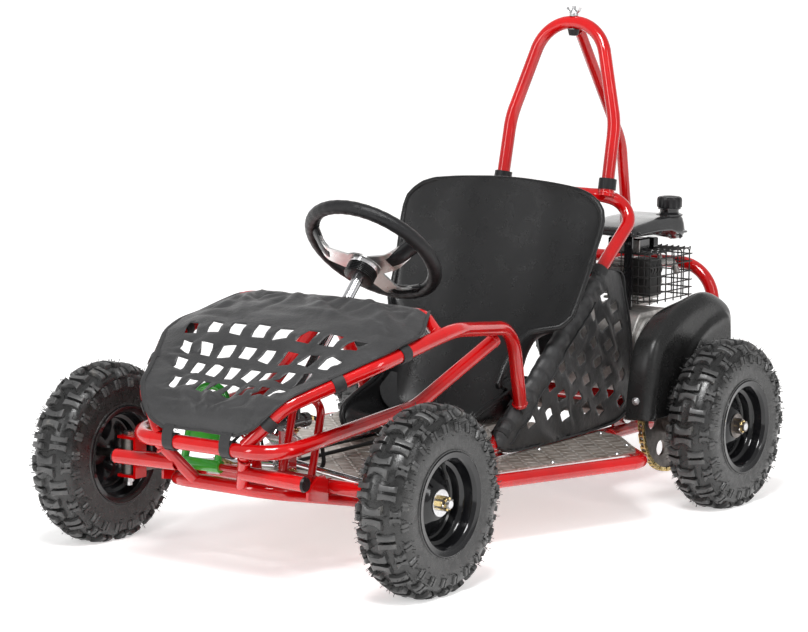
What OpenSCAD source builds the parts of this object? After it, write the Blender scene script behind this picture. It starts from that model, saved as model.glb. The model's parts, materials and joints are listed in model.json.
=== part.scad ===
// Off-road kart for a young driver: a welded tube chassis with its steering,
// axles, engine, seat and soft covers. Millimetres. +X is the kart's left, +Y is
// rearward and +Z is up; the ground is z = 0.

/* [Wheels] */
// Overall tyre diameter, over the knobs
tyre_d = 330; // [320:1:334]
// Width of the tyre over its shoulders
tyre_w = 98; // [92:1:100]
// Distance between the two axle lines
wheelbase = 941.5; // [930:0.5:960]
// Distance between the front tyre centres
front_track = 711; // [704:1:730]
// Distance between the rear tyre centres
rear_track = 775; // [770:1:790]

/* [Frame] */
// Outside diameter of the main frame tube
tube_d = 25.4; // [24:0.2:26]
// Wall thickness of the frame tube
tube_wall = 2; // [1.5:0.1:3]
// Height of the two long rails
rail_z = 130; // [126:1:134]
// Half distance between the two long rails
rail_x = 163; // [161:1:165]
// Thickness of the floor plates
plate_t = 3; // [2:0.5:4]

/* [Steering] */
// Slope of the column above the horizontal
column_tilt = 46; // [44:1:48]
// Radius of the wheel rim's centre line
wheel_r = 122; // [115:1:130]
// Radius of the padded wheel rim
grip_r = 13; // [11:0.5:14]
// Distance from the kingpin to the tie rod joint
steer_arm = 60; // [56:1:64]
// Largest turn of the road wheels
spindle_lock = 25; // [20:1:26]
// Largest turn of the steering wheel
wheel_lock = 30; // [28:1:36]

/* [Drive] */
// Teeth on the axle sprocket
axle_teeth = 50; // [46:1:50]
// Teeth on the clutch pinion
pinion_teeth = 12; // [10:1:13]
// Chain pitch
chain_pitch = 12.7; // [12:0.1:12.7]
// Diameter of the rear axle
axle_d = 25; // [24:1:25]

/* [Hidden] */
$fn = 32;

red = "#c8141c";
black = "#1c1c1e";
fabric_grey = "#2b2b2c";
steel = "#b9bcc0";
alloy = "#9a9c9e";
gold = "#c9a54a";
green = "#2f9a2c";

tube_r = tube_d / 2;
front_y = -wheelbase / 2;
rear_y = wheelbase / 2;
axle_z = tyre_d / 2;
front_x = front_track / 2;
rear_x = rear_track / 2;
bar_y = -635;                 // centre of the foremost bumper bar
guard_y = 745;                // centre of the rearmost guard bar
datum_y = (guard_y + bar_y) / 2;
plate_z = rail_z + tube_r;    // underside of the floor plates
fit_gap = 0.05;               // radial clearance of a running fit

// Drawings are dimensioned from mid-wheelbase; the origin is under the middle of the box.
module datum() translate([0, -datum_y, 0]) children();

function unit(v) = v / norm(v);
function square_to(v) = unit(cross(v, abs(unit(v).z) < 0.9 ? [0, 0, 1] : [1, 0, 0]));
function turn(a, b) = acos(max(-1, min(1, unit(a) * unit(b))));
function flip(p) = [-p.x, p.y, p.z];
function mirrored(list) = [for (i = [len(list) - 1:-1:0]) flip(list[i])];
function reversed(list) = [for (i = [len(list) - 1:-1:0]) list[i]];

// Puts children at o with their z along ez and their x along ex.
module frame_at(o, ex, ez) {
  ey = cross(ez, ex);
  multmatrix([[ex.x, ey.x, ez.x, o.x], [ex.y, ey.y, ez.y, o.y], [ex.z, ey.z, ez.z, o.z],
    [0, 0, 0, 1]]) children();
}

module ring(r, wall) {
  difference() {
    circle(r);
    if (wall > 0) circle(r - wall);
  }
}

// Straight round bar or tube from a to b.
module bar(a, b, r, wall = 0) {
  frame_at(a, square_to(b - a), unit(b - a)) linear_extrude(norm(b - a)) ring(r, wall);
}

// Round tube along points p, with bend radius b at each inner point. A bend is seam
// thicker than the straight tubes, whose ends reach lap into it.
seam = 0.2;
lap = 1.5;

module bent_tube(p, b, r = tube_r, wall = tube_wall) {
  last = len(p) - 1;
  run = [for (i = [0:last - 1]) unit(p[i + 1] - p[i])];
  cut = [for (i = [0:last]) i == 0 || i == last ? 0 : b[i] * tan(turn(run[i - 1], run[i]) / 2) - lap];
  for (i = [0:last - 1]) bar(p[i] + cut[i] * run[i], p[i + 1] - cut[i + 1] * run[i], r, wall);
  for (i = [1:last - 1]) {
    k = unit(cross(run[i - 1], run[i]));
    side = cross(k, run[i - 1]);
    frame_at(p[i] - (cut[i] + lap) * run[i - 1] + b[i] * side, -side, k)
      rotate_extrude(angle = turn(run[i - 1], run[i])) translate([b[i], 0])
        ring(r + seam, wall > 0 ? wall + 2 * seam : 0);
  }
}

// Disc or collar on an axis that lies along X.
module x_disc(x0, x1, y, z, r, bore = 0) {
  translate([x0, y, z]) rotate([0, 90, 0]) linear_extrude(x1 - x0) difference() {
    circle(r);
    if (bore > 0) circle(bore);
  }
}

// Outline drawn in (y, z), extruded along X.
module side_plate(x0, x1) {
  translate([x0, 0, 0]) multmatrix([[0, 0, 1, 0], [1, 0, 0, 0], [0, 1, 0, 0], [0, 0, 0, 1]])
    linear_extrude(x1 - x0) children();
}

module both_sides() {
  children();
  mirror([1, 0, 0]) children();
}

module button_head(p, r = 6) {
  translate(p) cylinder(h = r / 2, r1 = r, r2 = r * 0.6);
}

// ---- Frame ----

rail_rear_y = 692;
lower_bar = [108, -583, 167];
rail_half = [[rail_x, rail_rear_y, rail_z], [rail_x, -395, rail_z], lower_bar];

module main_rails() color(red) datum()
  bent_tube(concat(rail_half, mirrored(rail_half)), [0, 120, 60, 60, 120, 0]);

brace_top = [198, -42, 372];
upper_half = [brace_top, [rail_x, -240, 272], [rail_x, bar_y, 243]];

module upper_bumper() color(red) datum()
  bent_tube(concat(upper_half, mirrored(upper_half)), [0, 90, 62, 62, 90, 0]);

strut_r = 11;
stub_y = -610;
stub_z = 200;
stub_x = 205;

module bumper_struts() color(red) datum() both_sides() {
  bar([96, bar_y, 243], [49, lower_bar.y, lower_bar.z], strut_r, tube_wall);
  bar([72, stub_y, stub_z], [stub_x, stub_y - 4, stub_z - 3], tube_r, tube_wall);
}

module stub_caps() color(black) datum() both_sides()
  translate([stub_x, stub_y - 4, stub_z - 3]) rotate([0, 90, 0]) {
    translate([0, 0, -10]) cylinder(h = 10, r = tube_r - tube_wall - 0.2);
    cylinder(h = 4, r1 = tube_r + 0.6, r2 = tube_r - 1);
  }

side_bar_corner = [366, 208, rail_z];

module side_bars() color(red) datum() both_sides()
  bent_tube([[168, -372, rail_z], side_bar_corner, [rail_x + 8, 388, rail_z]], [0, 45, 0]);

cowl_path = [[92, bar_y + 6, 250], [150, -600, 318], [235, -440, 380], [252, -250, 418],
  [204, 6, 388], [176, 78, 232]];

module cowl_hoops() color(red) datum() both_sides()
  bent_tube(cowl_path, [0, 60, 120, 180, 118, 0]);

dash_y = -262;
dash_z = 440;
dash_r = 11;

module dash_bar() color(red) datum()
  bent_tube([[246, -290, 412], [196, dash_y, dash_z], [-196, dash_y, dash_z], [-246, -290, 412]],
    [0, 50, 50, 0], dash_r);

hoop_top = [62, 519, 917];     // corner that the crown of the hoop rounds
socket_x = 122;
socket_foot = [socket_x, 453, 587];
socket_lean = unit([-2, 24, 108]);
socket_r = 15;
hoop_gap = 0.1;
seat_half = [[rail_x, -32, rail_z], [rail_x, 508, 565], [112, 456, 588]];

module seat_hoop() color(red) datum() {
  bent_tube(concat(seat_half, mirrored(seat_half)), [0, 40, 34, 34, 40, 0]);
  both_sides() bar(socket_foot, socket_foot + 26 * socket_lean, socket_r,
    socket_r - tube_r - hoop_gap);
}

module hoop_sleeves() color(black) datum() {
  both_sides() difference() {
    bar(socket_foot + 13 * socket_lean, socket_foot + 34 * socket_lean, socket_r + 2.5);
    bar(socket_foot, socket_foot + 26.5 * socket_lean, socket_r + 0.1);
    bar(socket_foot + 20 * socket_lean, socket_foot + 40 * socket_lean, tube_r + 0.1);
  }
  // tapered spacer under the crown of the hoop
  translate([0, hoop_top.y, hoop_top.z - tube_r - 13]) difference() {
    cylinder(h = 12, r1 = 9, r2 = 12);
    translate([0, 0, -1]) cylinder(h = 14, r = 4.1);
  }
}

leg_foot = socket_foot + 12.9 * socket_lean;
hoop_half = [leg_foot, [120, 483, 727], hoop_top];

module roll_hoop() color(red) datum()
  bent_tube(concat(hoop_half, mirrored(hoop_half)), [0, 160, 80, 80, 160, 0]);

guard_x = 199;
guard_z = 430;
brace_head = [0, 540, 902];
brace_r = 11;

module rear_brace() color(red) datum() {
  bent_tube([brace_head, [0, 706, 671], [0, guard_y, guard_z + tube_r - 2]], [0, 120, 0], brace_r);
  bar([0, 528, 905], brace_head + [0, 6, -8], 7);
}

guard_half = [[rail_x, rail_rear_y - 30, rail_z + 16], [guard_x, guard_y, 175],
  [guard_x, guard_y, guard_z]];

module rear_guard() color(red) datum()
  bent_tube(concat(guard_half, mirrored(guard_half)), [0, 40, 76, 76, 40, 0]);

cross_r = 10;
cradle_z = 184;

module cross_members() color(red) datum() {
  for (y = [-330, 60, 330, rail_rear_y - 12])
    bar([-rail_x + 6, y, plate_z - cross_r], [rail_x - 6, y, plate_z - cross_r], cross_r, tube_wall);
  for (y = [526, 668]) {
    bar([-rail_x, y, cradle_z], [rail_x, y, cradle_z], cross_r, tube_wall);
    both_sides() bar([rail_x - cross_r, y, rail_z + 4], [rail_x - cross_r, y, cradle_z], cross_r - 1);
  }
  // pivot bar of the pedals and the bracket of the master cylinder
  bar([-rail_x + 4, pedal_y, pedal_z], [rail_x - 4, pedal_y, pedal_z], pivot_r);
  both_sides() side_plate(rail_x - 7, rail_x - 2)
    polygon([[-545, 152], [-490, 142], [-490, 178], [-500, 190], [-516, 190], [-545, 166]]);
  translate([42, -474, 172]) cube([5, 44, 82]);
}

module hoop_bolts() color(steel) datum() {
  // bolt through the hoop's crown: its upper end carries a flag mast
  translate([0, hoop_top.y, hoop_top.z - tube_r - 14]) cylinder(h = 2 * tube_r + 14, r = 4);
  translate([0, hoop_top.y, hoop_top.z + tube_r]) {
    cylinder(h = 3, r = 9);
    translate([0, 0, 3]) cylinder(h = 6, r = 7.5, $fn = 6);
    translate([0, 0, 9]) cylinder(h = 10, r = 4);
  }
  both_sides() bar(socket_foot + 7.5 * socket_lean + [0, 14.9, -3.4],
    socket_foot + 7.5 * socket_lean + [0, 21, -5], 5);
}

// ---- Rear axle mounting ----

bearing_r = 22;
carrier_t = 6;

module axle_carriers() color(red) datum() both_sides() difference() {
  side_plate(rail_x - carrier_t / 2, rail_x + carrier_t / 2) polygon([[rear_y - 44, rail_z + 8],
    [rear_y + 44, rail_z + 8], [rear_y + 44, axle_z + 12], [rear_y + 26, axle_z + 30],
    [rear_y - 26, axle_z + 30], [rear_y - 44, axle_z + 12]]);
  x_disc(rail_x - carrier_t, rail_x + carrier_t, rear_y, axle_z, bearing_r);
}

module axle_bearings() color(steel) datum() both_sides()
  x_disc(rail_x - 8, rail_x + 8, rear_y, axle_z, bearing_r - 0.02, axle_d / 2 + fit_gap);

// ---- Front axle ----

kingpin_x = 300;
kingpin_r = 6;
sleeve_h = 64;
ear_t = 5;
ear_z = sleeve_h / 2 + 0.4;

module front_beam() color(red) datum() {
  bar([-kingpin_x + 28, front_y, axle_z], [kingpin_x - 28, front_y, axle_z], tube_r, tube_wall);
  both_sides() {
    difference() {
      for (s = [-1, 1]) translate([kingpin_x - 28, front_y - 15, axle_z + s * (ear_z + ear_t / 2)
        - ear_t / 2]) cube([42, 30, ear_t]);
      translate([kingpin_x, front_y, 0]) cylinder(h = 2 * axle_z, r = kingpin_r + fit_gap);
    }
    translate([kingpin_x - 28, front_y - 15, axle_z - ear_z - ear_t])
      cube([5, 30, 2 * (ear_z + ear_t)]);
  }
  // arm that carries the lower column bush
  side_plate(-4, 4)
    polygon([[-490, 168], [-472, 174], [-479, 236], [-430, 262], [-438, 274], [-492, 250]]);
}

module kingpin_bolts() color(steel) datum() both_sides() translate([kingpin_x, front_y, axle_z]) {
  translate([0, 0, -ear_z - ear_t - 16]) cylinder(h = 2 * (ear_z + ear_t) + 16, r = kingpin_r);
  translate([0, 0, ear_z + ear_t]) cylinder(h = 7, r = 10, $fn = 6);
  translate([0, 0, -ear_z - ear_t - 9]) cylinder(h = 8.9, r = 10, $fn = 6);
}

// ---- Floor ----

wing = [[rail_x + 15, -322], [238, -140], [340, 168], [344, 214], [322, 246], [238, 332],
  [rail_x + 15, 352]];

module floor_plates() color(alloy) datum() translate([0, 0, plate_z]) {
  linear_extrude(plate_t) polygon([[-148, 352], [-148, -390], [-120, -425], [120, -425], [148, -390],
    [148, 352]]);
  both_sides() linear_extrude(plate_t) polygon(wing);
}

screw_spots = [[190, -270], [236, -112], [282, 26], [330, 170], [300, 254], [196, 330], [192, 120],
  [136, -380], [136, -190], [136, 170], [136, 330]];

module plate_screws() color(steel) datum() {
  for (p = screw_spots) both_sides() button_head([p.x, p.y, plate_z + plate_t], 5);
  both_sides() translate([295, fender_front + 3, 224]) rotate([90, 0, 0])
    cylinder(h = 5, r1 = 7, r2 = 5);
}

// ---- Seat ----

seat_t = 6;
pan_half_w = 145;
seat_path = [[-34, 196], [-20, 186], [60, 178], [110, 178], [140, 200], [160, 240], [186, 290],
  [226, 380], [262, 490], [283, 622]];
pan_path = [for (i = [0:6]) seat_path[i]];
pan_rim = [[-34, 244], [60, 262], [110, 300], [150, 350], [178, 352]];
back_half = [[pan_half_w, 170], [pan_half_w, 330], [196, 440], [216, 500], [225, 556], [220, 577],
  [206, 595], [176, 609], [120, 618], [50, 623]];

function normal_at(p, i) = let (a = p[max(i - 1, 0)], b = p[min(i + 1, len(p) - 1)],
  d = unit(b - a)) [-d.y, d.x];
function shifted(p, t) = [for (i = [0:len(p) - 1]) p[i] + t * normal_at(p, i)];
function flat_mirror(p) = [for (q = reversed(p)) [-q.x, q.y]];

module seat_shell() color(black) datum() difference() {
  union() {
    intersection() {
      side_plate(-230, 230) polygon(concat(seat_path, reversed(shifted(seat_path, -seat_t))));
      translate([0, 320, 0]) rotate([90, 0, 0]) linear_extrude(400)
        polygon(concat(back_half, flat_mirror(back_half)));
    }
    both_sides() side_plate(pan_half_w - seat_t, pan_half_w + 1)
      polygon(concat(shifted(pan_path, -seat_t / 2), reversed(pan_rim)));
  }
  // slots for the belt
  for (x = [-60, 60]) translate([x, 80, 160]) cylinder(h = 40, r = 12);
}

belt_w = 38;
buckle_y = 70;

module seat_belt() color(black) datum() {
  for (s = [-1, 1]) frame_at([s * 24, buckle_y, 188], [0, 1, 0], unit([s, 0, 0.06]))
    translate([-belt_w / 2, -2, 0]) cube([belt_w, 3, 108]);
  translate([-26, buckle_y - 24, 184]) cube([52, 48, 15]);
}

// ---- Soft covers: plain closed solids ----

hood_rows = [[-646, 96, 260, 262], [-606, 150, 334, 340], [-540, 200, 364, 380],
  [-440, 244, 398, 424], [-340, 260, 428, 450], [dash_y - 8, 262, 448, 462]];
hood_t = 4;
hood_cols = 6;

// One row of the hood: points across the kart on a low crown.
function hood_row(r, lift) = [for (i = [0:hood_cols]) let (u = 2 * i / hood_cols - 1)
  [u * r[1], r[0], r[3] - (r[3] - r[2]) * u * u + lift]];

// Closed sheet through rows of points: bottom layer first, then the top layer.
hood_n = hood_cols + 1;
hood_m = len(hood_rows);
function hood_id(layer, r, c) = (layer * hood_m + r) * hood_n + c;
function quad(a, b, c, d) = [[a, b, c], [a, c, d]];

module hood_cover() color(fabric_grey) datum() {
  skin = [for (r = [0:hood_m - 2], c = [0:hood_n - 2]) each concat(
    quad(hood_id(0, r, c), hood_id(0, r, c + 1), hood_id(0, r + 1, c + 1), hood_id(0, r + 1, c)),
    quad(hood_id(1, r, c), hood_id(1, r + 1, c), hood_id(1, r + 1, c + 1), hood_id(1, r, c + 1)))];
  ends = [for (c = [0:hood_n - 2]) each concat(
    quad(hood_id(0, 0, c + 1), hood_id(0, 0, c), hood_id(1, 0, c), hood_id(1, 0, c + 1)),
    quad(hood_id(0, hood_m - 1, c), hood_id(0, hood_m - 1, c + 1),
      hood_id(1, hood_m - 1, c + 1), hood_id(1, hood_m - 1, c)))];
  sides = [for (r = [0:hood_m - 2]) each concat(
    quad(hood_id(0, r, 0), hood_id(0, r + 1, 0), hood_id(1, r + 1, 0), hood_id(1, r, 0)),
    quad(hood_id(0, r + 1, hood_n - 1), hood_id(0, r, hood_n - 1), hood_id(1, r, hood_n - 1),
      hood_id(1, r + 1, hood_n - 1)))];
  polyhedron([for (lift = [0, hood_t], r = hood_rows) each hood_row(r, lift)],
    concat(skin, ends, sides));
}

panel_x = rail_x + tube_r + 1.5;
panel_outline = [[52, 149], [22, 176], [110, 243], [330, 418], [360, 446], [420, 436], [452, 348],
  [479, 204], [474, 188], [420, 158], [330, 150]];

module side_panels() color(fabric_grey) datum() both_sides()
  side_plate(panel_x, panel_x + 4) polygon(panel_outline);

fender_x0 = 272;
fender_x1 = 328;
fender_front = 290;
fender_outline = [[fender_front, 188], [294, 225], [306, 290], [322, 330], [342, 351], [375, 372],
  [405, 385], [440, 396], [480, 402], [532, 403], [572, 394], [602, 374], [612, 350], [614, 300],
  [614, 215]];

module fenders() color(black) datum() both_sides() difference() {
  side_plate(fender_x0, fender_x1) polygon(concat(fender_outline, [[582, 200], [360, 188]]));
  side_plate(fender_x0 - 1, fender_x1 - 3)
    polygon(concat([for (i = [0:len(fender_outline) - 1]) fender_outline[i]
      - 3 * normal_at(fender_outline, i)], [[611, 180], [582, 160], [fender_front, 160]]));
}

// ---- Engine ----

crank_y = 568;
crank_z = 288;
crank_r = 9.5;
plate_top = cradle_z + cross_r + 5;
case_x0 = -20;
case_x1 = 176;

module engine_plate() color(red) datum()
  translate([-90, 506, plate_top - 5]) cube([250, 182, 5]);

module crankcase() color(alloy) datum() {
  side_plate(case_x0, case_x1 - 10) polygon([[490, plate_top], [660, plate_top], [668, 250],
    [660, 330], [620, 356], [520, 356], [494, 320], [486, 250]]);
  side_plate(case_x1 - 12, case_x1) polygon([[484, 204], [500, plate_top + 2], [650, plate_top + 2],
    [664, 226], [656, 322], [620, 344], [524, 344], [490, 312]]);
  x_disc(case_x1, case_x1 + 8, crank_y, crank_z, 26);
  x_disc(case_x1 + 8, 278, crank_y, crank_z, crank_r);
  for (a = [0:60:300])
    x_disc(case_x1, case_x1 + 4, crank_y + 62 * cos(a), 272 + 58 * sin(a), 6);
}

module cylinder_head() color(alloy) datum() {
  translate([10, 630, 344]) difference() {
    cube([84, 84, 96]);
    for (i = [0:6]) translate([-1, -1, 8 + 12 * i]) {
      cube([10, 86, 6]);
      translate([76, 0, 0]) cube([10, 86, 6]);
    }
  }
}

handle_spot = [-69, 640.5, 334];

module recoil_handle() color(black) datum() translate(handle_spot) {
  rotate([90, 0, 0]) cylinder(h = 5, r1 = 6, r2 = 4, center = true);
  translate([-17, 2.5, -6]) cube([34, 12, 12]);
  rotate([90, 0, 0]) cylinder(h = 62, r = 1.8);
}

module recoil_cover() color(black) datum() difference() {
  recoil_body();
  // guide of the pull cord
  translate(handle_spot) rotate([90, 0, 0]) cylinder(h = 72, r = 2.2);
}

module recoil_body() {
  x_disc(-62, case_x0 - 0.2, crank_y, crank_z, 84);
  x_disc(-76, -62, crank_y, crank_z, 60);
  translate([handle_spot.x - 8, handle_spot.y - 60, handle_spot.z - 12]) cube([16, 57, 22]);
  translate([-60, crank_y - 40, crank_z + 60]) cube([36, 34, 44]);
}

tank_x0 = 15;
tank_x1 = 150;
tank_y0 = 515;
tank_y1 = 733;
cap_spot = [121, 698];
cap_z = 545;
cap_r = 25;

module fuel_tank() color(black) datum() {
  difference() {
    side_plate(tank_x0, tank_x1) polygon([[tank_y0, 500], [tank_y0 + 2, 515], [560, 524], [620, 530],
      [tank_y1 - 8, 531], [tank_y1, 521], [tank_y1, 486], [690, 482], [660, 494]]);
    translate([0, 0, 3]) side_plate(tank_x0 + 4, tank_x1 - 4) polygon([[tank_y0 + 6, 500],
      [tank_y0 + 6, 508], [560, 517], [620, 523], [tank_y1 - 10, 524], [tank_y1 - 4, 516],
      [tank_y1 - 4, 487], [690, 485], [660, 497]]);
  }
  translate([cap_spot.x, cap_spot.y, 530]) cylinder(h = cap_z - 530, r = 19);
  for (x = [tank_x0 + 10, tank_x1 - 34]) translate([x, 530, 355]) cube([20, 10, 147]);
}

module fuel_cap() color(black) datum() translate([cap_spot.x, cap_spot.y, cap_z + 0.2])
  difference() {
    cylinder(h = 22, r = cap_r);
    for (a = [0:30:330]) rotate(a) translate([cap_r + 1.5, 0, -1]) cylinder(h = 24, r = 4);
  }

module air_filter() color(black) datum() {
  translate([-104, 590, 372]) cube([68, 96, 76]);
  translate([-36, 622, 384]) rotate([0, 90, 0]) cylinder(h = 45.8, r = 17);
}

cage = [[102, 543, 373], [172, 698, 468]];

module muffler() color(black) datum() {
  translate([110, 552, 381]) cube([54, 104, 76]);
  translate([94.2, 645, 400]) rotate([0, 90, 0]) cylinder(h = 20, r = 13);
}

// Rectangle with a regular grid of square windows, wire_t of metal between them.
wire_t = 2.6;

module wire_grid(w, h, nw, nh) {
  pw = (w - wire_t) / nw;
  ph = (h - wire_t) / nh;
  difference() {
    square([w, h]);
    for (i = [0:nw - 1], j = [0:nh - 1])
      translate([wire_t + i * pw, wire_t + j * ph]) square([pw - wire_t, ph - wire_t]);
  }
}

module muffler_guard() color(black) datum() {
  size = cage[1] - cage[0];
  translate(cage[0]) {
    side_plate(size.x - wire_t, size.x) wire_grid(size.y, size.z, 9, 5);
    translate([0, 0, size.z - wire_t]) linear_extrude(wire_t) wire_grid(size.x, size.y, 4, 9);
    for (y = [wire_t, size.y]) translate([0, y, 0]) rotate([90, 0, 0]) linear_extrude(wire_t)
      wire_grid(size.x, size.z, 4, 5);
  }
}

// ---- Chain drive ----

chain_x = 262;
axle_pitch_r = chain_pitch / (2 * sin(180 / axle_teeth));
pinion_pitch_r = chain_pitch / (2 * sin(180 / pinion_teeth));
chain_half = 6;

// Toothed outline: each tooth is a flat tip and a flat root.
module toothed(pitch_r, teeth, bore) {
  step = 360 / teeth;
  difference() {
    polygon([for (i = [0:teeth - 1], k = [[-0.36, -4.2], [-0.12, 4.4], [0.12, 4.4], [0.36, -4.2]])
      let (a = (i + k[0]) * step, r = pitch_r + k[1]) [r * cos(a), r * sin(a)]]);
    circle(bore);
  }
}

// Area inside a belt line that wraps two wheels at a and b.
module belt_area(a, ra, b, rb) {
  d = norm(b - a);
  heading = atan2(b.y - a.y, b.x - a.x);
  open_angle = acos((ra - rb) / d);
  translate(a) circle(ra);
  translate(b) circle(rb);
  polygon([for (k = [[a, ra, 1], [b, rb, 1], [b, rb, -1], [a, ra, -1]])
    k[0] + k[1] * [cos(heading + k[2] * open_angle), sin(heading + k[2] * open_angle)]]);
}

module drive_chain() color(gold) datum()
  for (x = [chain_x - 5, chain_x + 3.4]) side_plate(x, x + 1.6) difference() {
    belt_area([rear_y, axle_z], axle_pitch_r + chain_half, [crank_y, crank_z],
      pinion_pitch_r + chain_half);
    belt_area([rear_y, axle_z], axle_pitch_r - chain_half, [crank_y, crank_z],
      pinion_pitch_r - chain_half);
  }

module axle_sprocket() color(steel) datum() {
  translate([chain_x - 2.5, rear_y, axle_z]) rotate([90, 0, 90]) linear_extrude(5) difference() {
    toothed(axle_pitch_r, axle_teeth, axle_d / 2);
    for (a = [0:60:300]) rotate(a) translate([64, 0]) circle(15);
  }
  x_disc(chain_x + 2.5, chain_x + 24, rear_y, axle_z, 30, axle_d / 2);
}

module clutch_drum() color(steel) datum() {
  translate([chain_x - 2.5, crank_y, crank_z]) rotate([90, 0, 90]) linear_extrude(5)
    toothed(pinion_pitch_r, pinion_teeth, crank_r + fit_gap);
  difference() {
    x_disc(chain_x - 62, chain_x - 14, crank_y, crank_z, 42, crank_r + fit_gap);
    x_disc(chain_x - 63, chain_x - 18, crank_y, crank_z, 38, 18);
  }
  x_disc(chain_x - 14, chain_x - 2.5, crank_y, crank_z, 17, crank_r + fit_gap);
}

// ---- Brakes ----

disc_x = -206;
disc_r = 80;

module brake_disc() color(steel) datum() {
  difference() {
    x_disc(disc_x - 2, disc_x + 2, rear_y, axle_z, disc_r, axle_d / 2);
    for (a = [0:30:330])
      x_disc(disc_x - 3, disc_x + 3, rear_y + 66 * cos(a), axle_z + 66 * sin(a), 4.5);
  }
  x_disc(disc_x - 22, disc_x - 2, rear_y, axle_z, 28, axle_d / 2);
}

module brake_caliper() color(black) datum() difference() {
  union() {
    translate([disc_x - 20, rear_y + 48, axle_z + 2]) cube([46, 44, 62]);
    translate([disc_x + 20, rear_y + 26, axle_z + 6]) cube([20, 40, 20]);
  }
  x_disc(disc_x - 4, disc_x + 4, rear_y, axle_z, disc_r + 5);
}

hose_path = [[54, -412, 262], [54, -378, 262], [54, -356, 160], [-60, -330, 156], [-60, 366, 156],
  [-60, 430, 203], [-60, 497, 203], [-176, 500, 203], [-176, 520, 187]];

module brake_hose() color(black) datum() bent_tube(hose_path, [0, 22, 30, 30, 40, 40, 22, 14, 0], 3.6, 0);

module master_cylinder() color(black) datum() {
  translate([54, -412, 262]) rotate([90, 0, 0]) cylinder(h = 74, r = 10);
  translate([54, -452, 270]) cylinder(h = 26, r = 14);
}

// ---- Pedals ----

pedal_y = -506;
pedal_z = 178;
pivot_r = 6;
pedal_r = 7;
pedal_lean = 14;
pedal_h = 138;

// Loop pedal: a pivot barrel with a closed tube loop above it.
module loop_pedal(x, half) {
  translate([x, pedal_y, pedal_z]) rotate([-pedal_lean, 0, 0]) {
    x_disc(-half - 8, half + 8, 0, 0, pivot_r + 5, pivot_r + fit_gap);
    bent_tube([[-half, 0, 9], [-half, 0, pedal_h], [half, 0, pedal_h], [half, 0, 9]],
      [0, half - 2, half - 2, 0], pedal_r, 0);
    children();
  }
}

brake_x = 106;
throttle_x = -105;

module brake_pedal() color(red) datum() loop_pedal(brake_x, 30);

module throttle_pedal() color(green) datum() loop_pedal(throttle_x, 37)
  translate([-35, -3, 30]) cube([70, 6, 92]);

cable_path = [[-66, -486, 206], [-66, -440, 228], [-66, -388, 222], [-84, -352, 160],
  [-108, -290, 155], [-108, 380, 155], [-104, 470, 330], [-90, 512, 404], [-14, 560, 410],
  [-14, 607, 394]];

module throttle_cable() color(black) datum()
  bent_tube(cable_path, [0, 30, 20, 20, 40, 60, 50, 24, 24, 0], 2.6, 0);

// ---- Steering ----

wheel_c = [0, -145, 528];
column_dir = [0, cos(column_tilt), sin(column_tilt)];
pitman_r = steer_arm * sin(spindle_lock) / sin(wheel_lock);
rod_y = front_y + steer_arm;
down_rear = [0, sin(column_tilt), -cos(column_tilt)];
// distance down the column to the plane of the inner tie rod joints
rod_drop = (wheel_c.y + pitman_r * down_rear.y - rod_y) / column_dir.y;
pitman_tip = wheel_c - rod_drop * column_dir + pitman_r * down_rear;
pitman_lift = 20;
column_r = 10;
bush_drop = [142, rod_drop - 40];
rod_z = 150;
stud_r = 4;
stud_foot = 14;                // how far the stud reaches below the middle of the two inner eyes
eye_lift = 5.5;                // the left eye sits this far above that middle, the right one below

module on_column(drop) frame_at(wheel_c - drop * column_dir, [1, 0, 0], column_dir) children();

module steering_wheel() color(black) datum() on_column(0)
  rotate_extrude() translate([wheel_r, 0]) circle(grip_r);

spoke_angles = [-17, 65, 205];
dish = 40;

module wheel_spokes() color(steel) datum() on_column(dish) {
  cylinder(h = 4, r = 38);
  translate([0, 0, 4]) cylinder(h = 8, r = 12);
  for (a = spoke_angles) rotate(a) {
    translate([30, -15, 0]) cube([44, 30, 4]);
    translate([72, -11, 0]) rotate([0, -42, 0]) cube([54, 22, 4]);
  }
}

module steering_column() color(steel) datum() {
  bar(wheel_c - (dish + 0.1) * column_dir, wheel_c - (rod_drop - pitman_lift + 3) * column_dir,
    column_r, 0);
  on_column(dish + 9) cylinder(h = 8.9, r = 27);
  on_column(rod_drop - pitman_lift + 5) linear_extrude(5)
    polygon([[-16, -9], [16, -9], [12, pitman_r + 4], [7, pitman_r + 10],
      [-7, pitman_r + 10], [-12, pitman_r + 4]]);
  on_column(rod_drop + stud_foot) translate([0, pitman_r, 0]) {
    cylinder(h = stud_foot + pitman_lift - 4, r = stud_r);
    translate([0, 0, -4]) cylinder(h = 4, r = 10);
  }
}

module column_bushes() color(black) datum() {
  for (d = bush_drop) on_column(d) linear_extrude(18, center = true) difference() {
    square([36, 30], center = true);
    circle(column_r + fit_gap);
  }
}

// Right or left side of the steered wheel: side is 1 on the left and -1 on the right.
module on_side(side) {
  if (side > 0) children();
  else mirror([1, 0, 0]) children();
}

hub_face = 23;
tip_out = 45;
arm_t = 6;

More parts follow.
